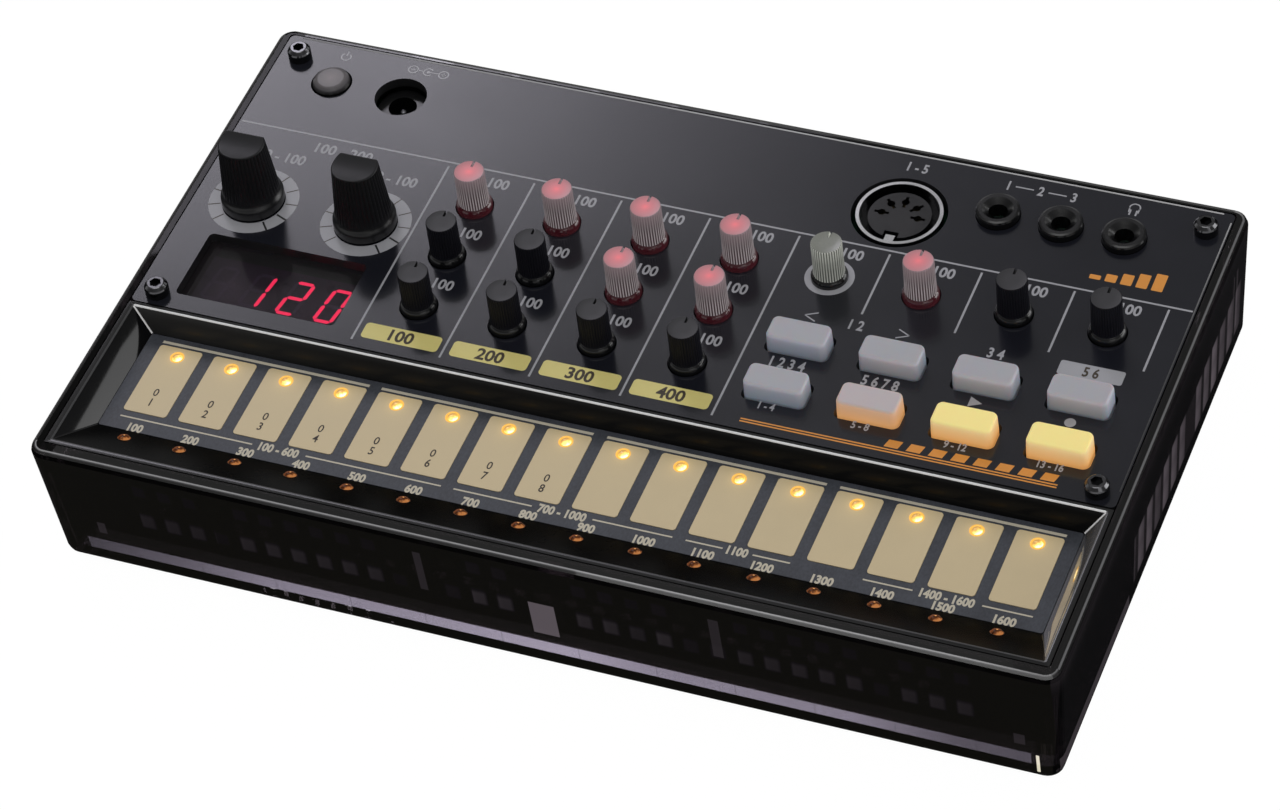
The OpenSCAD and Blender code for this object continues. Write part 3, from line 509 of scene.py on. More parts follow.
def painted_side_slot_glow(y, z):
    """Painted glow that stands in for the light from the slots and the ledge of the inner frame, seen through
    a side wall.
    """
    slot = math_node("FRACT", (y - SLOT_Y) / SLOT_PITCH)
    tooth = ramp(slot, [(0.0, 0.0), (0.05, 0.9), (0.2, 1.0), (0.5, 0.75), (0.68, 0.5), (0.74, 0.0)])
    height = [(0.0, 0.0), (0.04, 0.9), (0.3, 1.0), (0.55, 0.75), (0.8, 1.0), (0.95, 0.9), (1.0, 0.0)]
    slots = tooth * steps(y, SIDE_LEVELS, -60, 60) * ramp(portion(z, 8.0, 20.2), height)
    veil = within(y, -14.0, 51.0, z, 8.1, 19.5)
    ledge = within(y, -57.0, -16.6, z, 5.0, 7.7)
    streaks = within(y, 46.8, 47.4, z, 10, 25) + within(y, 48.6, 49.6, z, 10, 25)
    return slots * 0.066 + veil * 0.006 + (ledge + streaks * 0.6) * 0.034


def smoked_plastic():
    """Dark tinted plastic. Light hardly crosses it but in the floor and in a band of the front wall. The
    faint shine of the frame's slots behind the walls, a faint glow over the front wall, the white slit and a
    wash of light at the top of the right wall are painted glows; the line along the polished rim is a painted
    highlight."""
    m = material("smoked_plastic", SMOKE, 0.015, clear=1.0, ior=1.5)
    inputs = bsdf_of(m).inputs
    x, y, z = axes(m)
    front, side = y < CASE_FRONT + WALL, abs(x) > CASE_SIDE - FLANK
    slit = front * within(z, *SLIT_Z, x, *SLIT_X)
    tint = [(position, tuple(c * level for c in BAND_TINT)) for position, level in BAND_PAINTED_LEVELS]
    tone = mix_color(clear_places(x, y, z, slit), SMOKE, ramp(portion(x, -CASE_END, CASE_END), tint))
    # painted highlight: a pale line along the rim's rounded edge, where the plastic is made opaque
    rim = painted_rim_highlight(x, y, z)
    paint(m, mix_color(rim, tone, PAINTED_RIM_HIGHLIGHT_TONE))
    (1 - (rim > 0.01)).into(inputs["Transmission Weight"])
    left_rim = (x < 2 - CASE_SIDE + CORNER) * (z > RIM - 0.2)
    (1.5 - left_rim * 0.3).into(inputs["IOR"])

    # painted light: glows that stand in for the frame's slots seen through the walls, a faint glow over the
    # whole front wall, the white slit, and a wash of light down the right wall from its rim
    painted_glints = painted_front_slot_glow(x, z)
    spots = painted_glints > 0.0008
    glow = (painted_glints + (slit * 0.7 + 0.0036)) * front * (z < RIM - 1.2)
    painted_side_glow = painted_side_slot_glow(y, z) * side * (z < 26)
    climb = portion(z, 25, 31)
    painted_wash = climb * climb * (portion(y, 30, -45) * 0.007 + 0.003) * (x > CASE_SIDE - FLANK) * (z < RIM - 0.5)
    (glow + (painted_side_glow + painted_wash)).into(inputs["Emission Strength"])
    mix_color(larger(spots, side), PAINTED_GLOW_TONE, PAINTED_SLOT_GLOW_TONE).into(inputs["Emission Color"])


# ---- all the looks
def case_looks():
    smoked_plastic()
    surface("black_plastic", (0.010, 0.010, 0.011), 0.2, 0.1, (0.42, 0.55))
    surface("frame_plastic", (0.010, 0.009, 0.010), 0.25, 0.1, (0.4, 0.55))
    surface("panel_metal", (0.0106, 0.0112, 0.0166), 0.12, 0.03, (0.145, 0.175), tint=0.12, haze=25)
    surface("foot_rubber", (0.02, 0.02, 0.02), 0.2, 0.2, (0.7, 0.85))
    # painted highlights along the panel's back edge, brighter to the right, and its right edge, brighter to
    # the back
    painted_edge_highlight("painted_edge_highlight", 0, -95, 95, [(0.0, 0.16), (0.28, 0.36), (0.5, 0.46), (1.0, 0.5)])
    painted_edge_highlight("painted_side_edge_highlight", 1, -15, 56, [(0.0, 0.02), (0.55, 0.05), (0.8, 0.22), (1.0, 0.42)])


def surround_looks():
    """Walls of the key surround, and the broken edges between them, with painted highlights on the edges and
    a painted sheen on the back wall.
    """
    surface("bezel_gloss", (0.006, 0.006, 0.0065), 3, 0.003, (0.08, 0.12), haze=20)
    surface("bezel_satin", (0.0005, 0.0005, 0.0005), 1, 0.01, (0.22, 0.3), haze=20, ior=1.14)
    surface("bezel_polished", (0.004, 0.004, 0.0045), 3, 0.002, (0.05, 0.08), haze=20, ior=1.37)
    surface("bezel_mirror", (0.62, 0.60, 0.60), 3, 0.002, (0.04, 0.06), haze=20, metal=0.9)
    # the back wall fades darker from left to right, a painted sheen of the light from the left
    back = surface("bezel_back", (0.010, 0.010, 0.0105), 1, 0.01, (0.16, 0.24), tint=0, haze=20, ior=1.2)
    x, _, _ = axes(back)
    paint(back, ramp(portion(x, -92, 92), [(0.0, 0.030), (0.25, 0.015), (0.6, 0.008), (1.0, 0.007)]))
    # pale to white colours of the broken edges: painted highlights, the brightest behind the keys
    crest_highlights = {
        "bezel_crest": (0.95, 0.95, 0.96), "bezel_crest_side": (0.13, 0.13, 0.135),
        "bezel_crest_front": (0.05, 0.05, 0.052),
    }
    for name, tone in crest_highlights.items():
        surface(name, tone, 1, 0.01, (0.25, 0.35), tint=0.05, haze=20)


def key_looks():
    surface("sheet_grey", srgb(64, 67, 74), 0.45, 0.12, (0.36, 0.46), 0.3, stretch=(1, 0.6, 1), spec=0.35)
    # cream keys with a warm glow round their lamps
    key = surface("key_cream", srgb(219, 200, 160), 0.2, 0.03, (0.32, 0.4), tint=0.03, haze=9, spec=0.4)
    dx, dy = from_lamp(key, LAMP_Y)
    near = math_node("DIVIDE", 1.0, (dx * dx + dy * dy) * 0.9 + 1.0)
    bsdf_of(key).inputs["Emission Color"].default_value = (1.0, 0.62, 0.14, 1)
    (near * 0.36).into(bsdf_of(key).inputs["Emission Strength"])
    # lamps in the keys
    material("lamp_ring", (0.5, 0.26, 0.05), 0.2, glow=(0.80, 0.42, 0.06), glow_power=1.0)
    warm = (0.44, 0.24, 0.06), (0.85, 0.52, 0.10), (1.35, 1.0, 0.28), (1.9, 1.7, 0.9)
    sparkle("lamp_core", LAMP_Y, 1.0, warm, (0.5, 0.3, 0.1))
    # lamps on the surround's front slope, whose amber glow is a painted glint of the keys' lamps
    painted_glint_tones = (0.13, 0.036, 0.010), (0.012, 0.004, 0.0015), (0.10, 0.028, 0.008), (0.45, 0.17, 0.05)
    sparkle("amber_lens", BEZEL_LAMP_Y, 0.9, painted_glint_tones, (0.015, 0.005, 0.002), spec=0.1)
    material("lamp_seat", (0.003, 0.003, 0.003), 0.5, spec=0.15)
    material("amber_rim", (0.05, 0.017, 0.006), 0.3, spec=0.3, glow=(0.17, 0.055, 0.016), glow_power=1.0)
    material("amber_core", (0.1, 0.04, 0.015), 0.2, spec=0.1, glow=(0.75, 0.34, 0.11), glow_power=1.0)


def knob_looks():
    surface("knob_black", (0.0095, 0.0095, 0.0135), 0.15, 0.05, (0.32, 0.42), spec=0.2)
    surface("knob_top", (0.022, 0.022, 0.025), 0.12, 0.1, (0.45, 0.55))
    surface("knob_collar", (0.005, 0.005, 0.0055), 0.5, 0.01, (0.12, 0.2))
    surface("dial_skirt", (0.006, 0.006, 0.007), 0.4, 0.02, (0.26, 0.34))
    surface("dial_grip", (0.0095, 0.0095, 0.011), 0.2, 0.03, (0.3, 0.4), spec=0.28)
    surface("dial_top", (0.010, 0.010, 0.0115), 0.12, 0.05, (0.36, 0.44), spec=0.25)

    # pink top with a painted glow, strongest at its middle
    top = material("knob_pink_top", srgb(220, 120, 128), 0.35)
    out = from_axis(top, 2.9)
    light = [(0.0, (0.30, 0.05, 0.055)), (0.35, (0.14, 0.03, 0.034)), (1.0, (0.02, 0.008, 0.01))]
    paint(top, ramp(out, [(0.0, srgb(220, 120, 128)), (1.0, srgb(190, 138, 144))]), ramp(out, light))
    ribbed_grip(
        "knob_pink_body",
        [(0.0, srgb(120, 100, 102)), (0.5, srgb(122, 114, 116)), (1.0, srgb(156, 136, 141))],
        srgb(204, 194, 196), srgb(68, 48, 52), [(0.0, 1.0), (0.35, 0.9), (0.62, 0.35), (1.0, 0.08)], 0.22,
        rough=0.3, clear=0.2, ior=1.4,
    )
    # red collar, lighter towards its foot: painted light
    graded(
        "knob_red_collar", [(0.0, srgb(150, 86, 96)), (0.5, srgb(112, 40, 52)), (1.0, srgb(84, 30, 40))],
        -0.4, 1.5, rough=0.09, clear=0.35, ior=1.5, coat=0.6, coat_rough=0.04,
    )
    surface("knob_clear_top", srgb(138, 140, 132), 0.3, 0.03, (0.2, 0.3))
    ribbed_grip(
        "knob_clear_body", [(0.0, srgb(96, 98, 92)), (0.6, srgb(128, 130, 124)), (1.0, srgb(168, 170, 160))],
        srgb(214, 216, 208), srgb(66, 68, 64), [(0.0, 0.7), (0.6, 0.35), (1.0, 0.85)], 0.28,
        rough=0.22, clear=0.25, ior=1.42,
    )
    material("knob_clear_collar", srgb(30, 30, 30), 0.1, clear=0.3)


def button_looks():
    """Rubber of the push buttons, and the power button's cap."""
    # the grey rubber's faint own light is a painted glow, and its band just under the top is a painted
    # highlight of the rounded edge; the lit buttons' light comes from their lamps
    rubbers = {  # softness, then per band its height as a part of the button's, colour and own light
        "button_rubber": (
            0.5, (0.0, (166, 178, 194), (0.03, 0.03, 0.034)), (0.9, (200, 206, 220), (0.045, 0.046, 0.052)),
            (1.0, (184, 185, 191), (0.0, 0.0, 0.0)),
        ),
        "button_lit": (
            0.3, (0.0, (226, 176, 112), (0.46, 0.21, 0.06)), (0.85, (244, 220, 166), (0.38, 0.25, 0.11)),
            (1.0, (244, 226, 150), (0.24, 0.20, 0.06)),
        ),
        "button_dim": (
            0.3, (0.0, (222, 170, 120), (0.42, 0.20, 0.07)), (0.85, (226, 196, 172), (0.26, 0.15, 0.08)),
            (1.0, (202, 192, 194), (0.02, 0.018, 0.018)),
        ),
    }
    for name, (skin, *bands) in rubbers.items():
        stops = [(height, srgb(*color)) for height, color, _ in bands]
        glow = [(height, light) for height, _, light in bands]
        graded(name, stops, 0.0, BUTTON_TOP, glow, rough=0.42, spec=0.4, skin=skin, skin_scale=0.0025)
    # grey dome of the power button, with painted shade that darkens it down its sides
    low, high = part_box("power_button")
    cap = surface("cap_grey", (0.06, 0.057, 0.06), 0.4, 0.005, (0.13, 0.19), tint=0, spec=0.16)
    out = from_axis(cap, (high.x - low.x) / 2 / MM, ((low.x + high.x) / 2 / MM, (low.y + high.y) / 2 / MM))
    dome = [(0.0, (0.24, 0.215, 0.218)), (0.55, (0.17, 0.158, 0.163)), (0.74, (0.10, 0.094, 0.10))]
    paint(cap, ramp(out, dome + [(0.84, (0.006, 0.006, 0.006)), (1.0, (0.002, 0.002, 0.002))]))


def fitting_looks():
    """Metal, sockets, the display and what lies inside."""
    surface("screw_steel", (0.11, 0.11, 0.115), 0.2, 0.02, (0.1, 0.18), tint=0.15, metal=1.0)
    surface("bare_steel", (0.6, 0.6, 0.62), 0.2, 0.02, (0.24, 0.36), metal=1.0)
    surface("pin_steel", (0.12, 0.12, 0.13), 0.2, 0.02, (0.24, 0.36), metal=1.0)
    surface("shell_chrome", (0.86, 0.86, 0.88), 0.6, 0.01, (0.07, 0.14), tint=0.04, metal=1.0)
    surface("contact_brass", (0.8, 0.62, 0.3), 0.2, 0.02, (0.2, 0.3), metal=1.0)
    surface("socket_black", (0.004, 0.004, 0.0045), 0.3, 0.02, (0.18, 0.26))
    surface("window_pane", (0.30, 0.26, 0.29), 4, 0.002, (0.015, 0.03), 0.03, 20, clear=0.96, ior=1.24)
    surface("display_face", srgb(82, 78, 96), 0.3, 0.02, (0.25, 0.35))
    material("digit_red", (0.6, 0.02, 0.08), 0.4, glow=(0.80, 0.024, 0.085), glow_power=3.8)
    surface("digit_off", srgb(112, 106, 132), 0.2, 0.02, (0.3, 0.4))
    surface("board_green", (0.02, 0.10, 0.05), 0.5, 0.05, (0.3, 0.45), tint=0.2)
    surface("pot_body", (0.05, 0.10, 0.13), 0.3, 0.05, (0.4, 0.55))
    surface("cell_wrap", (0.18, 0.19, 0.22), 0.8, 0.02, (0.22, 0.34))


def print_looks():
    """Inks of the printed marks: colour, bump, least roughness, change of tone."""
    inks = {
        "print_grey": ((168, 168, 173), 0.03, 0.4, 0.05), "print_dim": ((182, 182, 187), 0.03, 0.35, 0.05),
        "print_orange": ((232, 152, 55), 0.03, 0.4, 0.05), "print_yellow": ((226, 213, 132), 0.02, 0.4, 0.02),
        "print_dark": ((58, 47, 30), 0.02, 0.45, 0.05), "print_brown": ((52, 42, 34), 0.02, 0.45, 0.05),
        "print_cream": ((206, 198, 178), 0.02, 0.4, 0.03),
    }
    for name, (color, bump, rough, tint) in inks.items():
        surface(name, srgb(*color), 0.15, bump, (rough, rough + 0.1), tint)


NODE_LOOKS = {
    "smoked_plastic": "lower_case",
    "frame_plastic": "inner_frame",
    "panel_metal": "front_panel",
    "bezel_gloss": "key_bezel",
    "sheet_grey": "key_sheet",
    "key_cream": "key_pads",
    "screw_steel": "panel_screws",
    "window_pane": "display_window",
    "display_face": "display_module",
    "shell_chrome": "din_shell",
    "contact_brass": "din_contacts",
    "socket_black": "din_insert mini_jack_bushings dc_jack",
    "pin_steel": "dc_jack_pin",
    "bare_steel": "mini_jacks battery_contacts case_screws large_shaft_left large_shaft_right",
    "black_plastic": "power_switch button_switches speaker battery_box battery_door",
    "pot_body": "small_pots large_pots",
    "board_green": "control_board key_board",
    "cell_wrap": "batteries",
    "foot_rubber": "rubber_feet",
    "cap_grey": "power_button",
}


def dress_solids():
    """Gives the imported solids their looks. The upright walls of the panel's openings and of the pane
    are black, and the panel's edges are softly broken."""
    for look, names in NODE_LOOKS.items():
        for name in names.split():
            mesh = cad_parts[name].data
            mesh.materials.clear()
            mesh.materials.append(MAT[look])
            finish_mesh(mesh, 40)
    for name in ("display_window", "front_panel"):
        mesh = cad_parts[name].data
        mesh.materials.append(MAT["black_plastic"])
        for face in mesh.polygons:
            if abs(face.normal.z) < 0.5:
                face.material_index = 1
    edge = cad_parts["front_panel"].modifiers.new("edge", "BEVEL")
    edge.width = 0.18 * MM
    edge.segments = 2
    edge.limit_method = "ANGLE"
    edge.angle_limit = math.radians(50)


# ---- printed marks
DIGIT_TALL = 0.69  # height of a digit where the font's size is 1
RULE = 0.4  # width of the lines that divide the panel
SCALE_TEXT, SOCKET_TEXT, BUTTON_TEXT = 2.4, 2.2, 2.3  # heights of numbers
SCALE = "0 - 100"
PANEL_INKS = (
    "print_grey", "print_dim", "print_orange", "print_yellow", "print_dark", "black_plastic", "painted_edge_highlight",
    "painted_side_edge_highlight",
)
GREY, DIM, ORANGE, YELLOW, INK, BLACK, PAINTED_BACK_HIGHLIGHT, PAINTED_SIDE_HIGHLIGHT = range(len(PANEL_INKS))
KEY_INKS = ("print_cream", "print_brown")
CREAM, BROWN = range(len(KEY_INKS))


def text_shapes(text, height, squeeze, weight):
    """Flat polygons of a number or sign, its digits height tall, centred on the origin."""
    curve = bpy.data.curves.new("glyphs", "FONT")
    curve.body = text
    curve.size = 1.0
    curve.offset = weight
    curve.resolution_u = 3
    holder = place("glyphs", curve)
    bpy.context.view_layer.update()
    mesh = bpy.data.meshes.new_from_object(holder)
    bpy.data.objects.remove(holder)
    bpy.data.curves.remove(curve)
    k = height / DIGIT_TALL
    xs = [v.co.x for v in mesh.vertices]
    mid = (min(xs) + max(xs)) / 2
    verts = [((v.co.x - mid) * k * squeeze, (v.co.y - DIGIT_TALL / 2) * k) for v in mesh.vertices]
    faces = [tuple(p.vertices) for p in mesh.polygons]
    bpy.data.meshes.remove(mesh)
    return verts, faces


class Print(Build):
    """Thin ink on a flat surface at height z. A mark with level 1 lies on marks with level 0."""

    THICK = 0.02
    LIFT = 0.006

    def __init__(self, z):
        super().__init__()
        self.z = z + self.LIFT

    def area(self, outline, mat=0, level=0):
        z = self.z + level * self.THICK
        self.prism(outline, z, z + self.THICK, mat)

    def text(self, text, x, y, height, mat=0, level=0, squeeze=0.74, weight=0.028):
        verts, faces = text_shapes(text, height, squeeze, weight)
        z = self.z + (level + 1) * self.THICK
        self.add([(x + vx, y + vy, z) for vx, vy in verts], faces, mat)

    def line(self, x0, y0, x1, y1, width, mat=0, level=0):
        dx, dy = x1 - x0, y1 - y0
        k = width / 2 / math.hypot(dx, dy)
        nx, ny = -dy * k, dx * k
        near, far = [(x0 - nx, y0 - ny), (x1 - nx, y1 - ny)], [(x1 + nx, y1 + ny), (x0 + nx, y0 + ny)]
        self.area(near + far, mat, level)

    def arc(self, x, y, r, width, a0, a1, mat=0, n=24):
        """Part of a ring in n pieces, angles in degrees."""
        closed = abs(a1 - a0) >= 360
        spokes = n if closed else n + 1
        verts = []
        for i in range(spokes):
            a = math.radians(a0 + (a1 - a0) * i / n)
            for q in (r - width / 2, r + width / 2):
                verts += [(x + q * math.cos(a), y + q * math.sin(a), self.z + h) for h in (0, self.THICK)]
        faces = []
        for i in range(n):
            a, b = 4 * i, 4 * ((i + 1) % spokes)
            faces += [(a + 1, b + 1, b + 3, a + 3), (a, a + 2, b + 2, b)]
            faces += [(a, b, b + 1, a + 1), (a + 2, a + 3, b + 3, b + 2)]
        self.add(verts, faces, mat)


def knob_marks(p):
    """Lines that divide the panel, name plates with plain numbers, and the ends of each knob's travel."""
    for x in (-50.6, -33.15, -15.6, 2.0, 19.55):
        p.line(x, 30.25, x, -16.25, RULE, GREY)
    for x in (37.1, 54.7, 72.26, 89.84):
        p.line(x, 30.1, x, 14.4, RULE, GREY)
    p.line(-94.2, 31.45, 94.0, 30.75, RULE, GREY)
    for i, x in enumerate((-41.8, -24.3, -6.75, 10.75)):
        p.area(rrect(x - 7.575, x + 7.575, -15.3, -11.5, 0.8), YELLOW)
        p.text(f"{100 * (i + 1)}", x, -13.4, 2.6, INK, 1, squeeze=0.95)
    for _, label_y, count in KNOB_ROWS:
        for column in range(count):
            p.text(SCALE, FIRST_KNOB_X + column * COLUMN, label_y, SCALE_TEXT, GREY, squeeze=0.85)
    # ring round the clear knob
    p.arc(28.35, 21.7, 3.98, 1.25, 0, 360, GREY, n=48)


def dial_marks(p):
    """Ring with ticks round each dial, the first two of them bold, and the numbers behind it."""
    for x, y in DIALS.values():
        p.text(SCALE, x + 1.0, 24.3, SCALE_TEXT, GREY, squeeze=0.85)
        p.arc(x, y, 7.35, 2.6, 0, 360, GREY, n=64)
        for k in range(11):
            a = math.radians(-50 + 28 * k)
            c, s = math.cos(a), math.sin(a)
            width, ink = (0.36, BLACK) if k < 2 else (0.2, INK)
            p.line(x + 6.3 * c, y + 6.3 * s, x + 8.65 * c, y + 8.65 * s, width, ink, 1)
    p.text("100 - 200", -71.4, 28.4, SCALE_TEXT, GREY, squeeze=0.9)


def power_marks(p):
    """Power sign and plug polarity."""
    y, r = 53.2, 0.95
    p.arc(-81.7, y - 0.1, r, 0.26, 125, 415, DIM, n=20)
    p.line(-81.7, y + 0.1, -81.7, y + 1.4, 0.26, DIM)
    minus_x, pin_x, plus_x = -67.6, -64.45, -61.3
    for x in (minus_x, plus_x):
        p.arc(x, y, r, 0.24, 0, 360, DIM)
        p.line(x - 0.5, y, x + 0.5, y, 0.22, DIM)
    p.line(plus_x, y - 0.5, plus_x, y + 0.5, 0.22, DIM)
    p.arc(pin_x, y, r, 0.24, 40, 320, DIM, n=20)
    p.area(circle(0.32, 16, pin_x, y), DIM)
    p.line(minus_x + 1, y, pin_x - 1, y, 0.2, DIM)
    p.line(pin_x + 0.35, y, plus_x - 1, y, 0.2, DIM)


def socket_marks(p):
    """Numbers of the sockets, headphones, and orange level bars."""
    y = 52.8
    for numbers, x in (("1 - 5", 34.8), ("1", 52.4), ("2", 58.6), ("3", 64.9)):
        p.text(numbers, x, y, SOCKET_TEXT, GREY)
    for x in (53.7, 60.0):
        p.line(x, y, x + 3.5, y, 0.3, GREY)
    ears_x = 76.4
    p.arc(ears_x, 53.2, 0.98, 0.28, -20, 200, GREY, n=20)
    for s in (-1, 1):
        p.line(ears_x + s * 0.93, 53.1, ears_x + s * 0.85, 51.9, 0.28, GREY)
        p.line(ears_x + s * 0.6, 52.6, ears_x + s * 0.6, 51.2, 0.34, GREY)
    for i in range(5):
        x = 73.6 + i * 2.9
        p.area(rrect(x, x + 2.1, 33.9, 35.0 + i * 0.8, 0.2, 3), ORANGE)


def button_marks(p):
    """Arrows, numbers and signs of the push buttons, and the row of orange bars."""
    upper, lower = 11.55, -0.8
    for x, s in ((28.4, -1), (45.95, 1)):
        for rise in (1.1, -1.1):
            p.line(x + s * 1.15, upper, x - s * 1.1, upper + rise, 0.26, GREY)
    p.area(rrect(75.1, 87.1, 9.9, 13.3, 0.5), GREY)
    p.text("5 6", 81.1, upper, 2.2, INK, 1)
    for numbers, x, y in (
        ("1 2", 37.15, upper), ("3 4", 63.45, upper), ("1 2 3 4", 28.4, lower), ("5 6 7 8", 45.9, lower),
    ):
        p.text(numbers, x, y, BUTTON_TEXT, GREY)
    p.area([(62.5, -1.95), (64.9, -0.75), (62.5, 0.45)], GREY)
    p.area(circle(1.05, 28, 81.15, -0.85), GREY)
    for x, numbers in ((28.3, "1 - 4"), (45.9, "5 - 8"), (63.5, "9 - 12"), (81.0, "13 - 16")):
        p.text(numbers, x, -11.55, 1.65, GREY)
    for y in (-15.5, -16.1):
        p.line(24.8, y, 83.5, y, 0.3, ORANGE)
    for i in range(8):
        x = 51.4 + i * 4.1
        p.area([(x, -15.0), (x + 2.6, -15.0), (x + 3.1, -13.2), (x + 0.5, -13.2)], ORANGE)


def panel_print():
    p = Print(RIM)
    for marks in (knob_marks, dial_marks, power_marks, socket_marks, button_marks):
        marks(p)
    # painted highlights along the back and right edges of the panel
    low, high = (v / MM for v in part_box("front_panel"))
    p.line(low.x + 2.5, high.y - 0.3, high.x - 2.2, high.y - 0.3, 0.34, PAINTED_BACK_HIGHLIGHT)
    p.line(high.x - 0.3, high.y - 2.2, high.x - 0.3, -14, 0.26, PAINTED_SIDE_HIGHLIGHT)
    dress(p.object("panel_marks", PANEL_INKS, smooth=0), "housing", "panel_metal")


def key_print():
    p = Print(SHEET + 0.1)  # the keys stand 0.1 over the sheet
    for i, x in enumerate(KEY_XS[:8]):
        p.text(str(i + 1), x, -36.8, 1.8, BROWN, squeeze=0.8, weight=0.012)
        p.text("0", x, -34.3, 1.75, BROWN, squeeze=0.85, weight=0.008)
    dress(p.object("key_marks", KEY_INKS, smooth=0), "housing", "key_cream")

    p = Print(SHEET)
    for x0, x1 in ((-86.9, -45.2), (-42.8, -1.3), (1.36, 43.0), (45.5, 87.1)):
        p.line(x0, -22.1, x1, -22.1, 0.6, CREAM)
    y = -41.2
    groups = (
        (-86.7, -23.1, "100 - 600"), (-20.65, 21.07, "700 - 1000"), (23.57, 43.0, "1100"),
        (56.36, 87.1, "1400 - 1600"),
    )
    for x0, x1, numbers in groups:
        mid = (x0 + x1) / 2
        half = 0.8 + 0.5 * len(numbers)
        p.line(x0, y, mid - half, y, 0.32, CREAM)
        p.line(mid + half, y, x1, y, 0.32, CREAM)
        p.text(numbers, mid, y, 1.8, CREAM, squeeze=0.8, weight=0.045)
    for i, x in enumerate(KEY_XS):
        p.text(f"{100 * (i + 1)}", x, -43.35, 1.75, CREAM, squeeze=0.85, weight=0.045)
    dress(p.object("sheet_marks", ["print_cream"], smooth=0), "housing", "sheet_grey")


# ---- display
def digit_shapes(p, x, y, lit):
    """Seven slanted bars of one digit; x, y is its lower left corner. The unlit bars wear material 1."""
    wide, tall, stroke, gap = 4.1, 8.8, 0.74, 0.08
    slant = 1.2 / tall
    c = stroke / 2

    def bar(x0, y0, x1, y1):
        """Six-sided bar from one joint of the digit to another."""
        length = math.hypot(x1 - x0, y1 - y0)
        ux, uy = (x1 - x0) / length, (y1 - y0) / length
        tips, shoulders = (gap, length - gap), (gap + c, length - gap - c)
        spots = [(tips[0], 0), (shoulders[0], -c), (shoulders[1], -c)]
        spots += [(tips[1], 0), (shoulders[1], c), (shoulders[0], c)]
        return [(x0 + ux * a - uy * s, y0 + uy * a + ux * s) for a, s in spots]

    left, right, low, mid, high = c, wide - c, c, tall / 2, tall - c
    bars = {
        "a": (left, high, right, high), "g": (left, mid, right, mid), "d": (left, low, right, low),
        "f": (left, mid, left, high), "b": (right, mid, right, high),
        "e": (left, low, left, mid), "c": (right, low, right, mid),
    }
    for key, ends in bars.items():
        p.area([(x + px + slant * py, y + py) for px, py in bar(*ends)], 0 if key in lit else 1)


def display_print():
    p = Print(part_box("display_module")[1].z / MM)
    for x, lit in ((-85.8, ""), (-78.1, "bc"), (-70.4, "abged"), (-62.7, "abcdef")):
        digit_shapes(p, x, -9.45, lit)
    dress(p.object("display_digits", ["digit_red", "digit_off"], smooth=0), "housing", "display_face")


# ---- small knobs
def ribbed(r, z, depth):
    """One loop of a ribbed grip: three points to a rib."""
    n = KNOB_RIBS * 3
    out = []
    for i in range(n):
        a = 2 * math.pi * i / n
        q = r - (depth if i % 3 == 0 else 0.0)
        out.append((q * math.cos(a), q * math.sin(a), z))
    return out


def cut_slot(obj, looks, mat):
    """Takes the pointer's slot out of a knob's top; its faces wear the look with index mat."""
    tool = Build()
    outline = [(-0.26, 1.3), (0.26, 1.3), (0.26, 3.4), (-0.26, 3.4)]
    tool.prism(outline, KNOB_TOP - 0.5, KNOB_TOP + 0.5, mat)
    cutter = tool.object("cutter", looks, smooth=0)
    mod = obj.modifiers.new("cut", "BOOLEAN")
    mod.object = cutter
    mod.solver = "EXACT"
    bpy.context.view_layer.update()
    mesh = bpy.data.meshes.new_from_object(obj.evaluated_get(bpy.context.evaluated_depsgraph_get()))
    obj.modifiers.clear()
    old = obj.data
    obj.data = mesh
    bpy.data.meshes.remove(old)
    bpy.data.objects.remove(cutter)


def small_knob_mesh(kind):
    """Ribbed knob standing on the panel; origin on its axis at the panel top."""
    n = KNOB_RIBS * 3
    b = Build()
    collar = [
        (2.0, -6.9), (2.0, -2.6), (3.3, -2.3), (3.45, -2.1), (3.45, 0.45), (3.43, 0.75), (3.35, 1.02),
        (3.22, 1.25), (3.06, 1.42), (2.94, 1.5),
    ]
    b.loops(lathe(collar, n), 0, cap_low=True)
    grip = [  # radius, height, depth of the ribs
        (2.94, 1.5, 0.0), (2.96, 1.62, 0.12), (2.95, 1.8, 0.17), (2.93, 2.3, 0.17), (2.89, 5.0, 0.17),
        (2.87, KNOB_TOP - 0.3, 0.15), (2.84, KNOB_TOP - 0.12, 0.12), (2.74, KNOB_TOP, 0.05),
    ]
    sides = [ribbed(*ring) for ring in grip]
    b.loops(sides, 1)
    dish = [(2.55, KNOB_TOP - 0.02), (2.4, KNOB_TOP - 0.05), (1.2, KNOB_TOP - 0.06), (0.02, KNOB_TOP - 0.06)]
    b.loops([sides[-1]] + lathe(dish, n), 2, cap_high=True)
    looks = {
        "black": ["knob_collar", "knob_black", "knob_top"],
        "pink": ["knob_red_collar", "knob_pink_body", "knob_pink_top"],
        "clear": ["knob_clear_collar", "knob_clear_body", "knob_clear_top"],
    }[kind]
    obj = b.object("knob_" + kind, looks, smooth=50)
    cut_slot(obj, looks, 0 if kind == "black" else 1)
    mesh = obj.data
    finish_mesh(mesh, 50)
    bpy.data.objects.remove(obj)
    return mesh


def small_knobs():
    meshes = {}
    for i, (x, y) in enumerate(KNOB_AXES, 1):
        kind = KNOB_KINDS.get(i, "black")
        if kind not in meshes:
            meshes[kind] = small_knob_mesh(kind)
        knob = place(f"knob_{i}", meshes[kind], (x, y, RIM))
        dress(knob, f"small_knob_{i}", "knob_" + kind, f"small_knob_{i}")


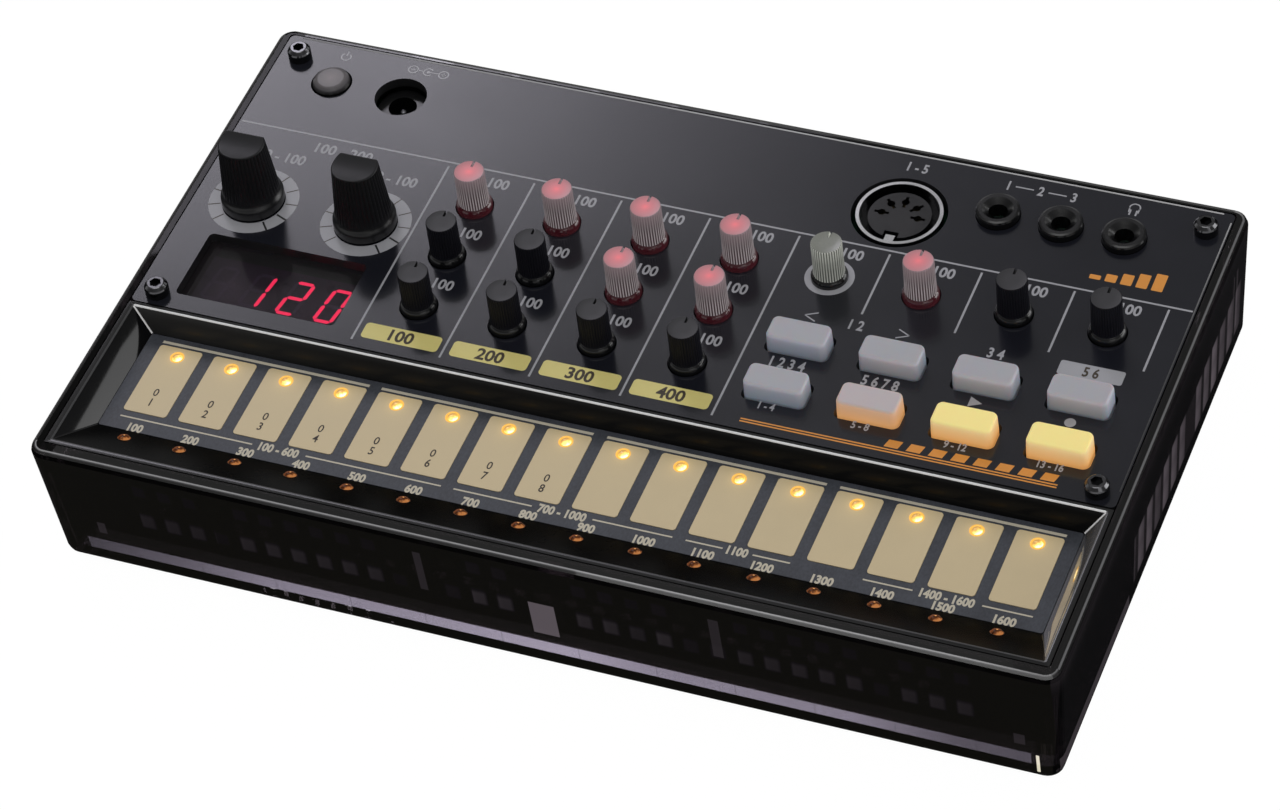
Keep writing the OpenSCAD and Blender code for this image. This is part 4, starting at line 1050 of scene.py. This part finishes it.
# ---- dials
DIAL_BASE, DIAL_TOP = 0.4, 15.4
DIAL_FOOT_R, DIAL_HEAD_R, DIAL_TOP_R = 5.38, 4.42, 4.4
DIAL_RIBS, DIAL_RIB_DEPTH = 40, 0.19
DIAL_EDGE = 0.32  # radius of the round edge at the top
FACET_Y, FACET_LEAN = 2.3, math.tan(math.radians(17))  # flat back: its place at the top, and its slope


def soft_min(a, b, k):
    h = max(k - abs(a - b), 0.0) / k
    return min(a, b) - h * h * k / 4


def dish_height():
    """Function that gives the height of the dials' dished top at a depth y: an arc that falls from the
    facet to the front."""
    front, drop, radius = 0.5 - DIAL_TOP_R, 0.3, 12.0
    run = FACET_Y - front
    half = math.hypot(run, drop) / 2
    reach = math.sqrt(radius * radius - half * half)
    tilt = math.atan2(drop, run)
    cy = (front + FACET_Y) / 2 - reach * math.sin(tilt)
    cz = DIAL_TOP - drop / 2 + reach * math.cos(tilt)
    return lambda y: min(DIAL_TOP, cz - math.sqrt(radius * radius - (y - cy) ** 2))


def dial_ring(z, r, depth):
    """One loop of the ribbed taper with its flat back: six points to a rib."""
    n = DIAL_RIBS * 6
    limit = FACET_Y + (DIAL_TOP - z) * FACET_LEAN
    out = []
    for i in range(n):
        a = 2 * math.pi * i / n
        wave = 0.5 + 0.5 * math.cos(DIAL_RIBS * a)
        q = r - depth * wave * wave
        out.append((q * math.cos(a), soft_min(q * math.sin(a), limit, 0.35)))
    return out


def shrunk(outline, factor):
    """Outline drawn in towards the middle of a dial's top, which lies in front of its axis."""
    return [(x * factor, -1.0 + (y + 1.0) * factor) for x, y in outline]


def large_knob(side, x, y):
    """Tall dial knob: flared skirt, ribbed taper, slanting facet at the back and a shallow dished top."""
    crown = dish_height()
    b = Build()
    skirt = [  # radius, height over the base
        (4.2, 0), (5.8, 0), (5.95, 0.05), (6.0, 0.2), (6.0, 1.5), (5.97, 1.75), (5.88, 2.0), (5.72, 2.25),
        (5.56, 2.5), (5.44, 2.75), (5.38, 3.0),
    ]
    b.loops(lathe([(r, DIAL_BASE + h) for r, h in skirt], DIAL_RIBS * 6), 0, cap_low=True)

    low, high = DIAL_BASE + 3.0, DIAL_TOP - 0.75
    bands = 44
    taper = []
    for i in range(bands + 1):
        t = i / bands
        z = low + (high - low) * t
        r = DIAL_FOOT_R + (DIAL_HEAD_R - DIAL_FOOT_R) * t
        taper.append(at_z(dial_ring(z, r, DIAL_RIB_DEPTH * min(1.0, t * 12)), z))
    b.loops(taper, 1)

    crest = [taper[-1]]
    for depth, below in ((0.1, 0.12), (0.0, 0.0)):
        rim = dial_ring(DIAL_TOP, DIAL_TOP_R, depth)
        crest.append([(px, py, crown(py) - DIAL_EDGE - below) for px, py in rim])
    for k in range(1, 6):
        a = math.pi / 2 * k / 5
        inner = shrunk(rim, 1 - DIAL_EDGE * (1 - math.cos(a)) / 4.2)
        crest.append([(px, py, crown(py) - DIAL_EDGE * (1 - math.sin(a))) for px, py in inner])
    b.loops(crest, 1)

    brink = [(px, py) for px, py, _ in crest[-1]]
    cap = [crest[-1]]
    for factor in (0.97, 0.9, 0.75, 0.5, 0.25, 0.02):
        cap.append([(px, py, crown(py)) for px, py in shrunk(brink, factor)])
    b.loops(cap, 2, cap_high=True)
    obj = b.object(f"dial_{side}", ["dial_skirt", "dial_grip", "dial_top"], (x, y, RIM), smooth=50)
    dress(obj, f"large_knob_{side}", "knob_black", f"large_knob_{side}")


def large_knobs():
    for side, (x, y) in DIALS.items():
        large_knob(side, x, y)


# ---- push buttons
def button_mesh(look):
    """Rubber key with softly rounded edges; origin at the panel top."""
    wide, deep, r, soft, flare = 11.2, 5.4, 1.2, 0.55, 0.1

    def outline(inset, radius):
        x, y = wide / 2 - inset, deep / 2 - inset
        return rrect(-x, x, -y, y, radius, 10)

    loops = []
    for z in (-2.2, 0.0, 1.2, 2.4, BUTTON_TOP - soft):
        loops.append(at_z(outline(-flare * (1 - max(z, 0) / BUTTON_TOP), r), z))
    for k in range(1, 8):
        a = math.pi / 2 * k / 7
        inset = soft * (1 - math.cos(a))
        loops.append(at_z(outline(inset, r - inset), BUTTON_TOP - soft * (1 - math.sin(a))))
    for inset in (0.9, 1.6, 2.3):
        loops.append(at_z(outline(inset, 0.3), BUTTON_TOP))
    b = Build()
    b.loops(loops, 0, cap_low=True, cap_high=True)
    obj = b.object(look, [look], smooth=60)
    mesh = obj.data
    bpy.data.objects.remove(obj)
    return mesh


def push_buttons():
    meshes = {look: button_mesh(look) for look in ("button_rubber", "button_dim", "button_lit")}
    for i, (x, y) in enumerate(BUTTONS, 1):
        lit = i >= FULLY_LIT
        look = "button_lit" if lit else "button_dim" if i == HALF_LIT else "button_rubber"
        key = place(f"button_{i}", meshes[look], (x, y, RIM))
        dress(key, f"push_button_{i}", "button_lit" if lit else "button_grey", f"push_button_{i}")


# ---- lamps
def key_lamps():
    """Round lamp in each key: an amber rim and a bright dome, heights over the sheet."""
    rim = [(1.36, -1.0), (1.36, 0.16), (1.26, 0.2), (1.08, 0.16), (1.0, 0.1)]
    dome = [(1.02, 0.05), (0.95, 0.2), (0.7, 0.36), (0.36, 0.44), (0.02, 0.46)]
    b = Build()
    for x in KEY_XS:
        for mat, profile in enumerate((rim, dome)):
            loops = lathe([(r, SHEET + h) for r, h in profile], 28, x, LAMP_Y)
            b.loops(loops, mat, cap_low=mat == 0, cap_high=mat == 1)
    obj = b.object("key_lamp_lenses", ["lamp_ring", "lamp_core"], smooth=50)
    dress(obj, "housing", "amber_lens", "key_lamps")


def bezel_lamps():
    """Small amber domes on the front slope, each in a dark seat with a dim rim; their amber glow is a painted
    glint of the keys' lamps.
    """
    rise, run = 5.0, 9.7  # of the slope, from the sheet to the surround's rim
    seat = [(1.32, -1.6), (1.32, 0.06), (1.22, 0.1), (1.1, 0.04)]
    dome = [(1.12, 0.0), (1.06, 0.26), (0.86, 0.48), (0.48, 0.62), (0.02, 0.66)]
    spot = [(0.2, 0.63), (0.14, 0.67), (0.02, 0.68)]
    z = SHEET + rise / run * (SURROUND_FOOT[2] - BEZEL_LAMP_Y)
    lean = Matrix.Rotation(-math.atan2(rise, run), 4, "X")
    b = Build()
    for x in KEY_XS:
        turn = Matrix.Translation((x, BEZEL_LAMP_Y, z)) @ lean
        for mat, profile in enumerate((seat, dome, spot)):
            loops = [[turn @ Vector(v) for v in loop] for loop in lathe(profile, 24)]
            is_seat = profile is seat
            b.loops(loops, mat, cap_low=is_seat, cap_high=not is_seat, mats=[0, 0, 3] if is_seat else None)
    obj = b.object("bezel_lamp_lenses", ["lamp_seat", "amber_lens", "amber_core", "amber_rim"], smooth=50)
    dress(obj, "housing", "amber_dim", "bezel_lamps")


# ---- key surround
SURROUND_FOOT = (-89.95, 89.95, -44.35, -20.6)  # x0, x1, y0, y1 of the inner walls at the sheet
SURROUND_DEPTH = (-54.05, -19.1)  # y0, y1 of the inner walls at the top
SURROUND_LOOKS = (
    "bezel_gloss", "bezel_satin", "bezel_polished", "bezel_mirror", "bezel_crest", "bezel_crest_side",
    "bezel_crest_front", "bezel_back",
)
GLOSS, SATIN, POLISHED, MIRROR, CREST, CREST_SIDE, CREST_FRONT, BACK = range(len(SURROUND_LOOKS))


def surround_solid(outer, opening, low, top):
    """Frame with a flat rim and sloping inner walls, each wall with its own look."""

    def corners(box, z):
        x0, x1, y0, y1 = box
        return [(x0, y0, z), (x1, y0, z), (x1, y1, z), (x0, y1, z)]

    under = corners(outer, low)
    slopes = [corners(opening, top), corners(SURROUND_FOOT, SHEET)]
    b = Build()
    b.loops([under, corners(outer, top)] + slopes + [corners(SURROUND_FOOT, low), under], GLOSS)
    b.mats[8:12] = [SATIN, MIRROR, BACK, POLISHED]  # the walls in front, right, behind and left
    return b.object("key_surround", SURROUND_LOOKS, smooth=0)


def paint_crest_highlights(bm, opening, top):
    """Paints highlights on the broken edges: brightest behind the keys and down the back corners' mitres, dim
    on the right and dimmest on the left and in front.
    """
    for f in bm.faces:
        c = f.calc_center_median() / MM
        on_edge = c.z > top - 0.3 and 0.3 < f.normal.z < 0.99
        if on_edge and c.y > opening[3] - 0.6 and abs(c.x) < opening[1] - 0.2:
            f.material_index = CREST
        elif on_edge and abs(c.x) > opening[1] - 0.6 and opening[2] < c.y:
            f.material_index = CREST_SIDE if c.x > 0 else CREST_FRONT
        elif on_edge and opening[2] - 0.1 < c.y < opening[2] + 0.6:
            f.material_index = CREST_FRONT
        # the mitres that run down the back corners
        t = (c.z - SHEET) / (top - SHEET)
        mitre_x = SURROUND_FOOT[1] + (opening[1] - SURROUND_FOOT[1]) * t
        mitre_y = SURROUND_FOOT[3] + (opening[3] - SURROUND_FOOT[3]) * t
        at_mitre = math.hypot(abs(c.x) - mitre_x, c.y - mitre_y) < 0.45
        if 0.05 < t < 0.97 and at_mitre and f.calc_area() / MM / MM < 3:
            f.material_index = CREST


def key_surround():
    """Frame round the keys with softly broken edges. Its rim comes from the solid's own box, so it
    follows the walls of the case."""
    lo, hi = (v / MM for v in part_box("key_bezel"))
    top = hi.z
    opening = (lo.x + 1, hi.x - 1, *SURROUND_DEPTH)
    obj = surround_solid((lo.x, hi.x, lo.y, hi.y), opening, lo.z, top)
    bm = bmesh.new()
    bm.from_mesh(obj.data)
    near = 0.01

    def inside(v):
        x, y = v.co.x / MM, v.co.y / MM
        return opening[0] - near <= x <= opening[1] + near and opening[2] - near <= y <= opening[3] + near

    def edges_between(z0, z1):
        """Edges round the opening that run from one height to the other."""
        found = []
        for e in bm.edges:
            low, high = sorted(v.co.z / MM for v in e.verts)
            if all(inside(v) for v in e.verts) and abs(low - z0) < near and abs(high - z1) < near:
                found.append(e)
        return found

    for z0, offset, segments in ((SHEET, 0.22, 3), (top, 0.26, 4)):
        edges = edges_between(z0, top)
        bmesh.ops.bevel(bm, geom=edges, offset=offset * MM, segments=segments, profile=0.5, affect="EDGES")
    paint_crest_highlights(bm, opening, top)
    bm.to_mesh(obj.data)
    bm.free()
    finish_mesh(obj.data, 25)
    dress(obj, "housing", "bezel_gloss", "key_bezel")


# ---- floor, light and camera
def rays(tree):
    """1 for rays that reach the camera straight or through glass, and 1 for mirrored ones."""
    path = tree.nodes.new("ShaderNodeLightPath")
    straight, through, mirrored = (
        Field(tree, path.outputs[f"Is {kind} Ray"]) for kind in ("Camera", "Transmission", "Glossy")
    )
    return larger(straight, through), mirrored


def white_floor():
    """White floor that the camera sees evenly lit and that is dark in mirror images."""
    m = bpy.data.materials.new("floor_white")
    m.use_nodes = True
    MAT["floor_white"] = m
    tree = m.node_tree
    tree.nodes.remove(bsdf_of(m))

    def mix(fac, a, b):
        n = tree.nodes.new("ShaderNodeMixShader")
        fac.into(n.inputs[0])
        tree.links.new(a.outputs[0], n.inputs[1])
        tree.links.new(b.outputs[0], n.inputs[2])
        return n

    diffuse = node(tree, "ShaderNodeBsdfDiffuse", Color=(0.9, 0.9, 0.9, 1))
    dark = node(tree, "ShaderNodeBsdfDiffuse", Color=(0.03, 0.03, 0.032, 1))
    white = node(tree, "ShaderNodeEmission", Color=(1, 1, 1, 1), Strength=1.02)
    seen, mirrored = rays(tree)
    shader = mix(seen * 0.97, mix(mirrored, diffuse, dark), white)
    tree.links.new(shader.outputs[0], tree.nodes["Material Output"].inputs["Surface"])
    half = 3000
    b = Build()
    b.prism([(-half, -half), (half, -half), (half, half), (-half, half)], -20, 0)
    floor = b.object("floor", ["floor_white"], smooth=0)


def backdrop():
    """Studio round the object, white where the camera looks at it."""
    world = bpy.data.worlds.new("studio")
    bpy.context.scene.world = world
    world.use_nodes = True
    tree = world.node_tree
    split = tree.nodes.new("ShaderNodeSeparateXYZ")
    tree.links.new(tree.nodes.new("ShaderNodeTexCoord").outputs["Generated"], split.inputs[0])
    low = [(0.0, 0.03), (0.02, 0.8), (0.14, 0.7), (0.3, 0.24)]
    high = [(0.5, 0.15), (0.72, 0.26), (0.9, 0.5), (1.0, 0.9)]
    sky = ramp(Field(tree, split.outputs[2]), low + high)
    seen, _ = rays(tree)
    background = tree.nodes["Background"]
    mix_color(seen, sky, (1, 1, 1)).into(background.inputs["Color"])
    background.inputs["Strength"].default_value = 1.0


def softbox(name, azimuth, elevation, distance, width, height, level, tint=(1, 1, 1)):
    """Area light aimed at the object, sizes in metres. level is its brightness where 1 is white."""
    a, e = math.radians(azimuth), math.radians(elevation)
    towards = Vector((math.cos(e) * math.cos(a), math.cos(e) * math.sin(a), math.sin(e)))
    data = bpy.data.lights.new(name, "AREA")
    data.shape = "RECTANGLE"
    data.size, data.size_y = width, height
    data.energy = level * math.pi * width * height
    data.color = tint
    lamp = place(name, data)
    lamp.location = towards * distance
    lamp.rotation_euler = (-towards).to_track_quat("-Z", "Y").to_euler()


# strips of the key light, side by side, so that its reflection fades out towards the right:
# first and last azimuth, brightness
KEY_STRIPS = (
    (120.3, 136, 3.95), (118.6, 120.3, 3.35), (117.2, 118.6, 2.5), (115.8, 117.2, 1.75),
    (114.2, 115.8, 1.1), (112.4, 114.2, 0.6), (110.4, 112.4, 0.3),
)
KEY_DISTANCE, KEY_HEIGHT = 6.0, 1.943
KEY_ELEVATION = 34.3
KEY_GAIN = 1.07
KEY_TINT = (1.01, 0.975, 1.09)


def lights():
    ring = KEY_DISTANCE * math.cos(math.radians(36))  # radius of the circle that the strips' widths fill
    for start, end, level in KEY_STRIPS:
        width = 2 * ring * math.tan(math.radians((end - start) / 2))
        softbox(
            f"key_light_{int(start)}", (start + end) / 2, KEY_ELEVATION, KEY_DISTANCE, width, KEY_HEIGHT,
            level * KEY_GAIN, KEY_TINT,
        )
    softbox("key_spill", 126, 50.4, 6.0, 2.1, 1.43, 0.12)
    softbox("right_wall", 28, 12, 1.6, 1.16, 0.68, 2.6)
    softbox("top_light", 270, 80, 1.4, 0.9, 0.7, 1.4)
    softbox("front_fill", 318, 28, 1.8, 0.9, 0.5, 1.1)


def camera():
    """View of the photograph, solved from the rim and the upright edges of the case."""
    data = bpy.data.cameras.new("view")
    data.lens = 136.03
    data.sensor_width = 36.0
    data.clip_start = 0.05
    data.clip_end = 20.0
    view = place("view", data, (277.505, -544.666, 655.195))
    view.rotation_euler = [math.radians(a) for a in (43.23967, 5.80693, 21.07195)]
    bpy.context.scene.camera = view


for make in (
    case_looks, surround_looks, key_looks, knob_looks, button_looks, fitting_looks, print_looks, dress_solids,
    panel_print, key_print, display_print, small_knobs, large_knobs, push_buttons, key_lamps, bezel_lamps,
    key_surround, white_floor, backdrop, lights, camera,
):
    make()
bpy.context.scene.view_settings.view_transform = "Standard"
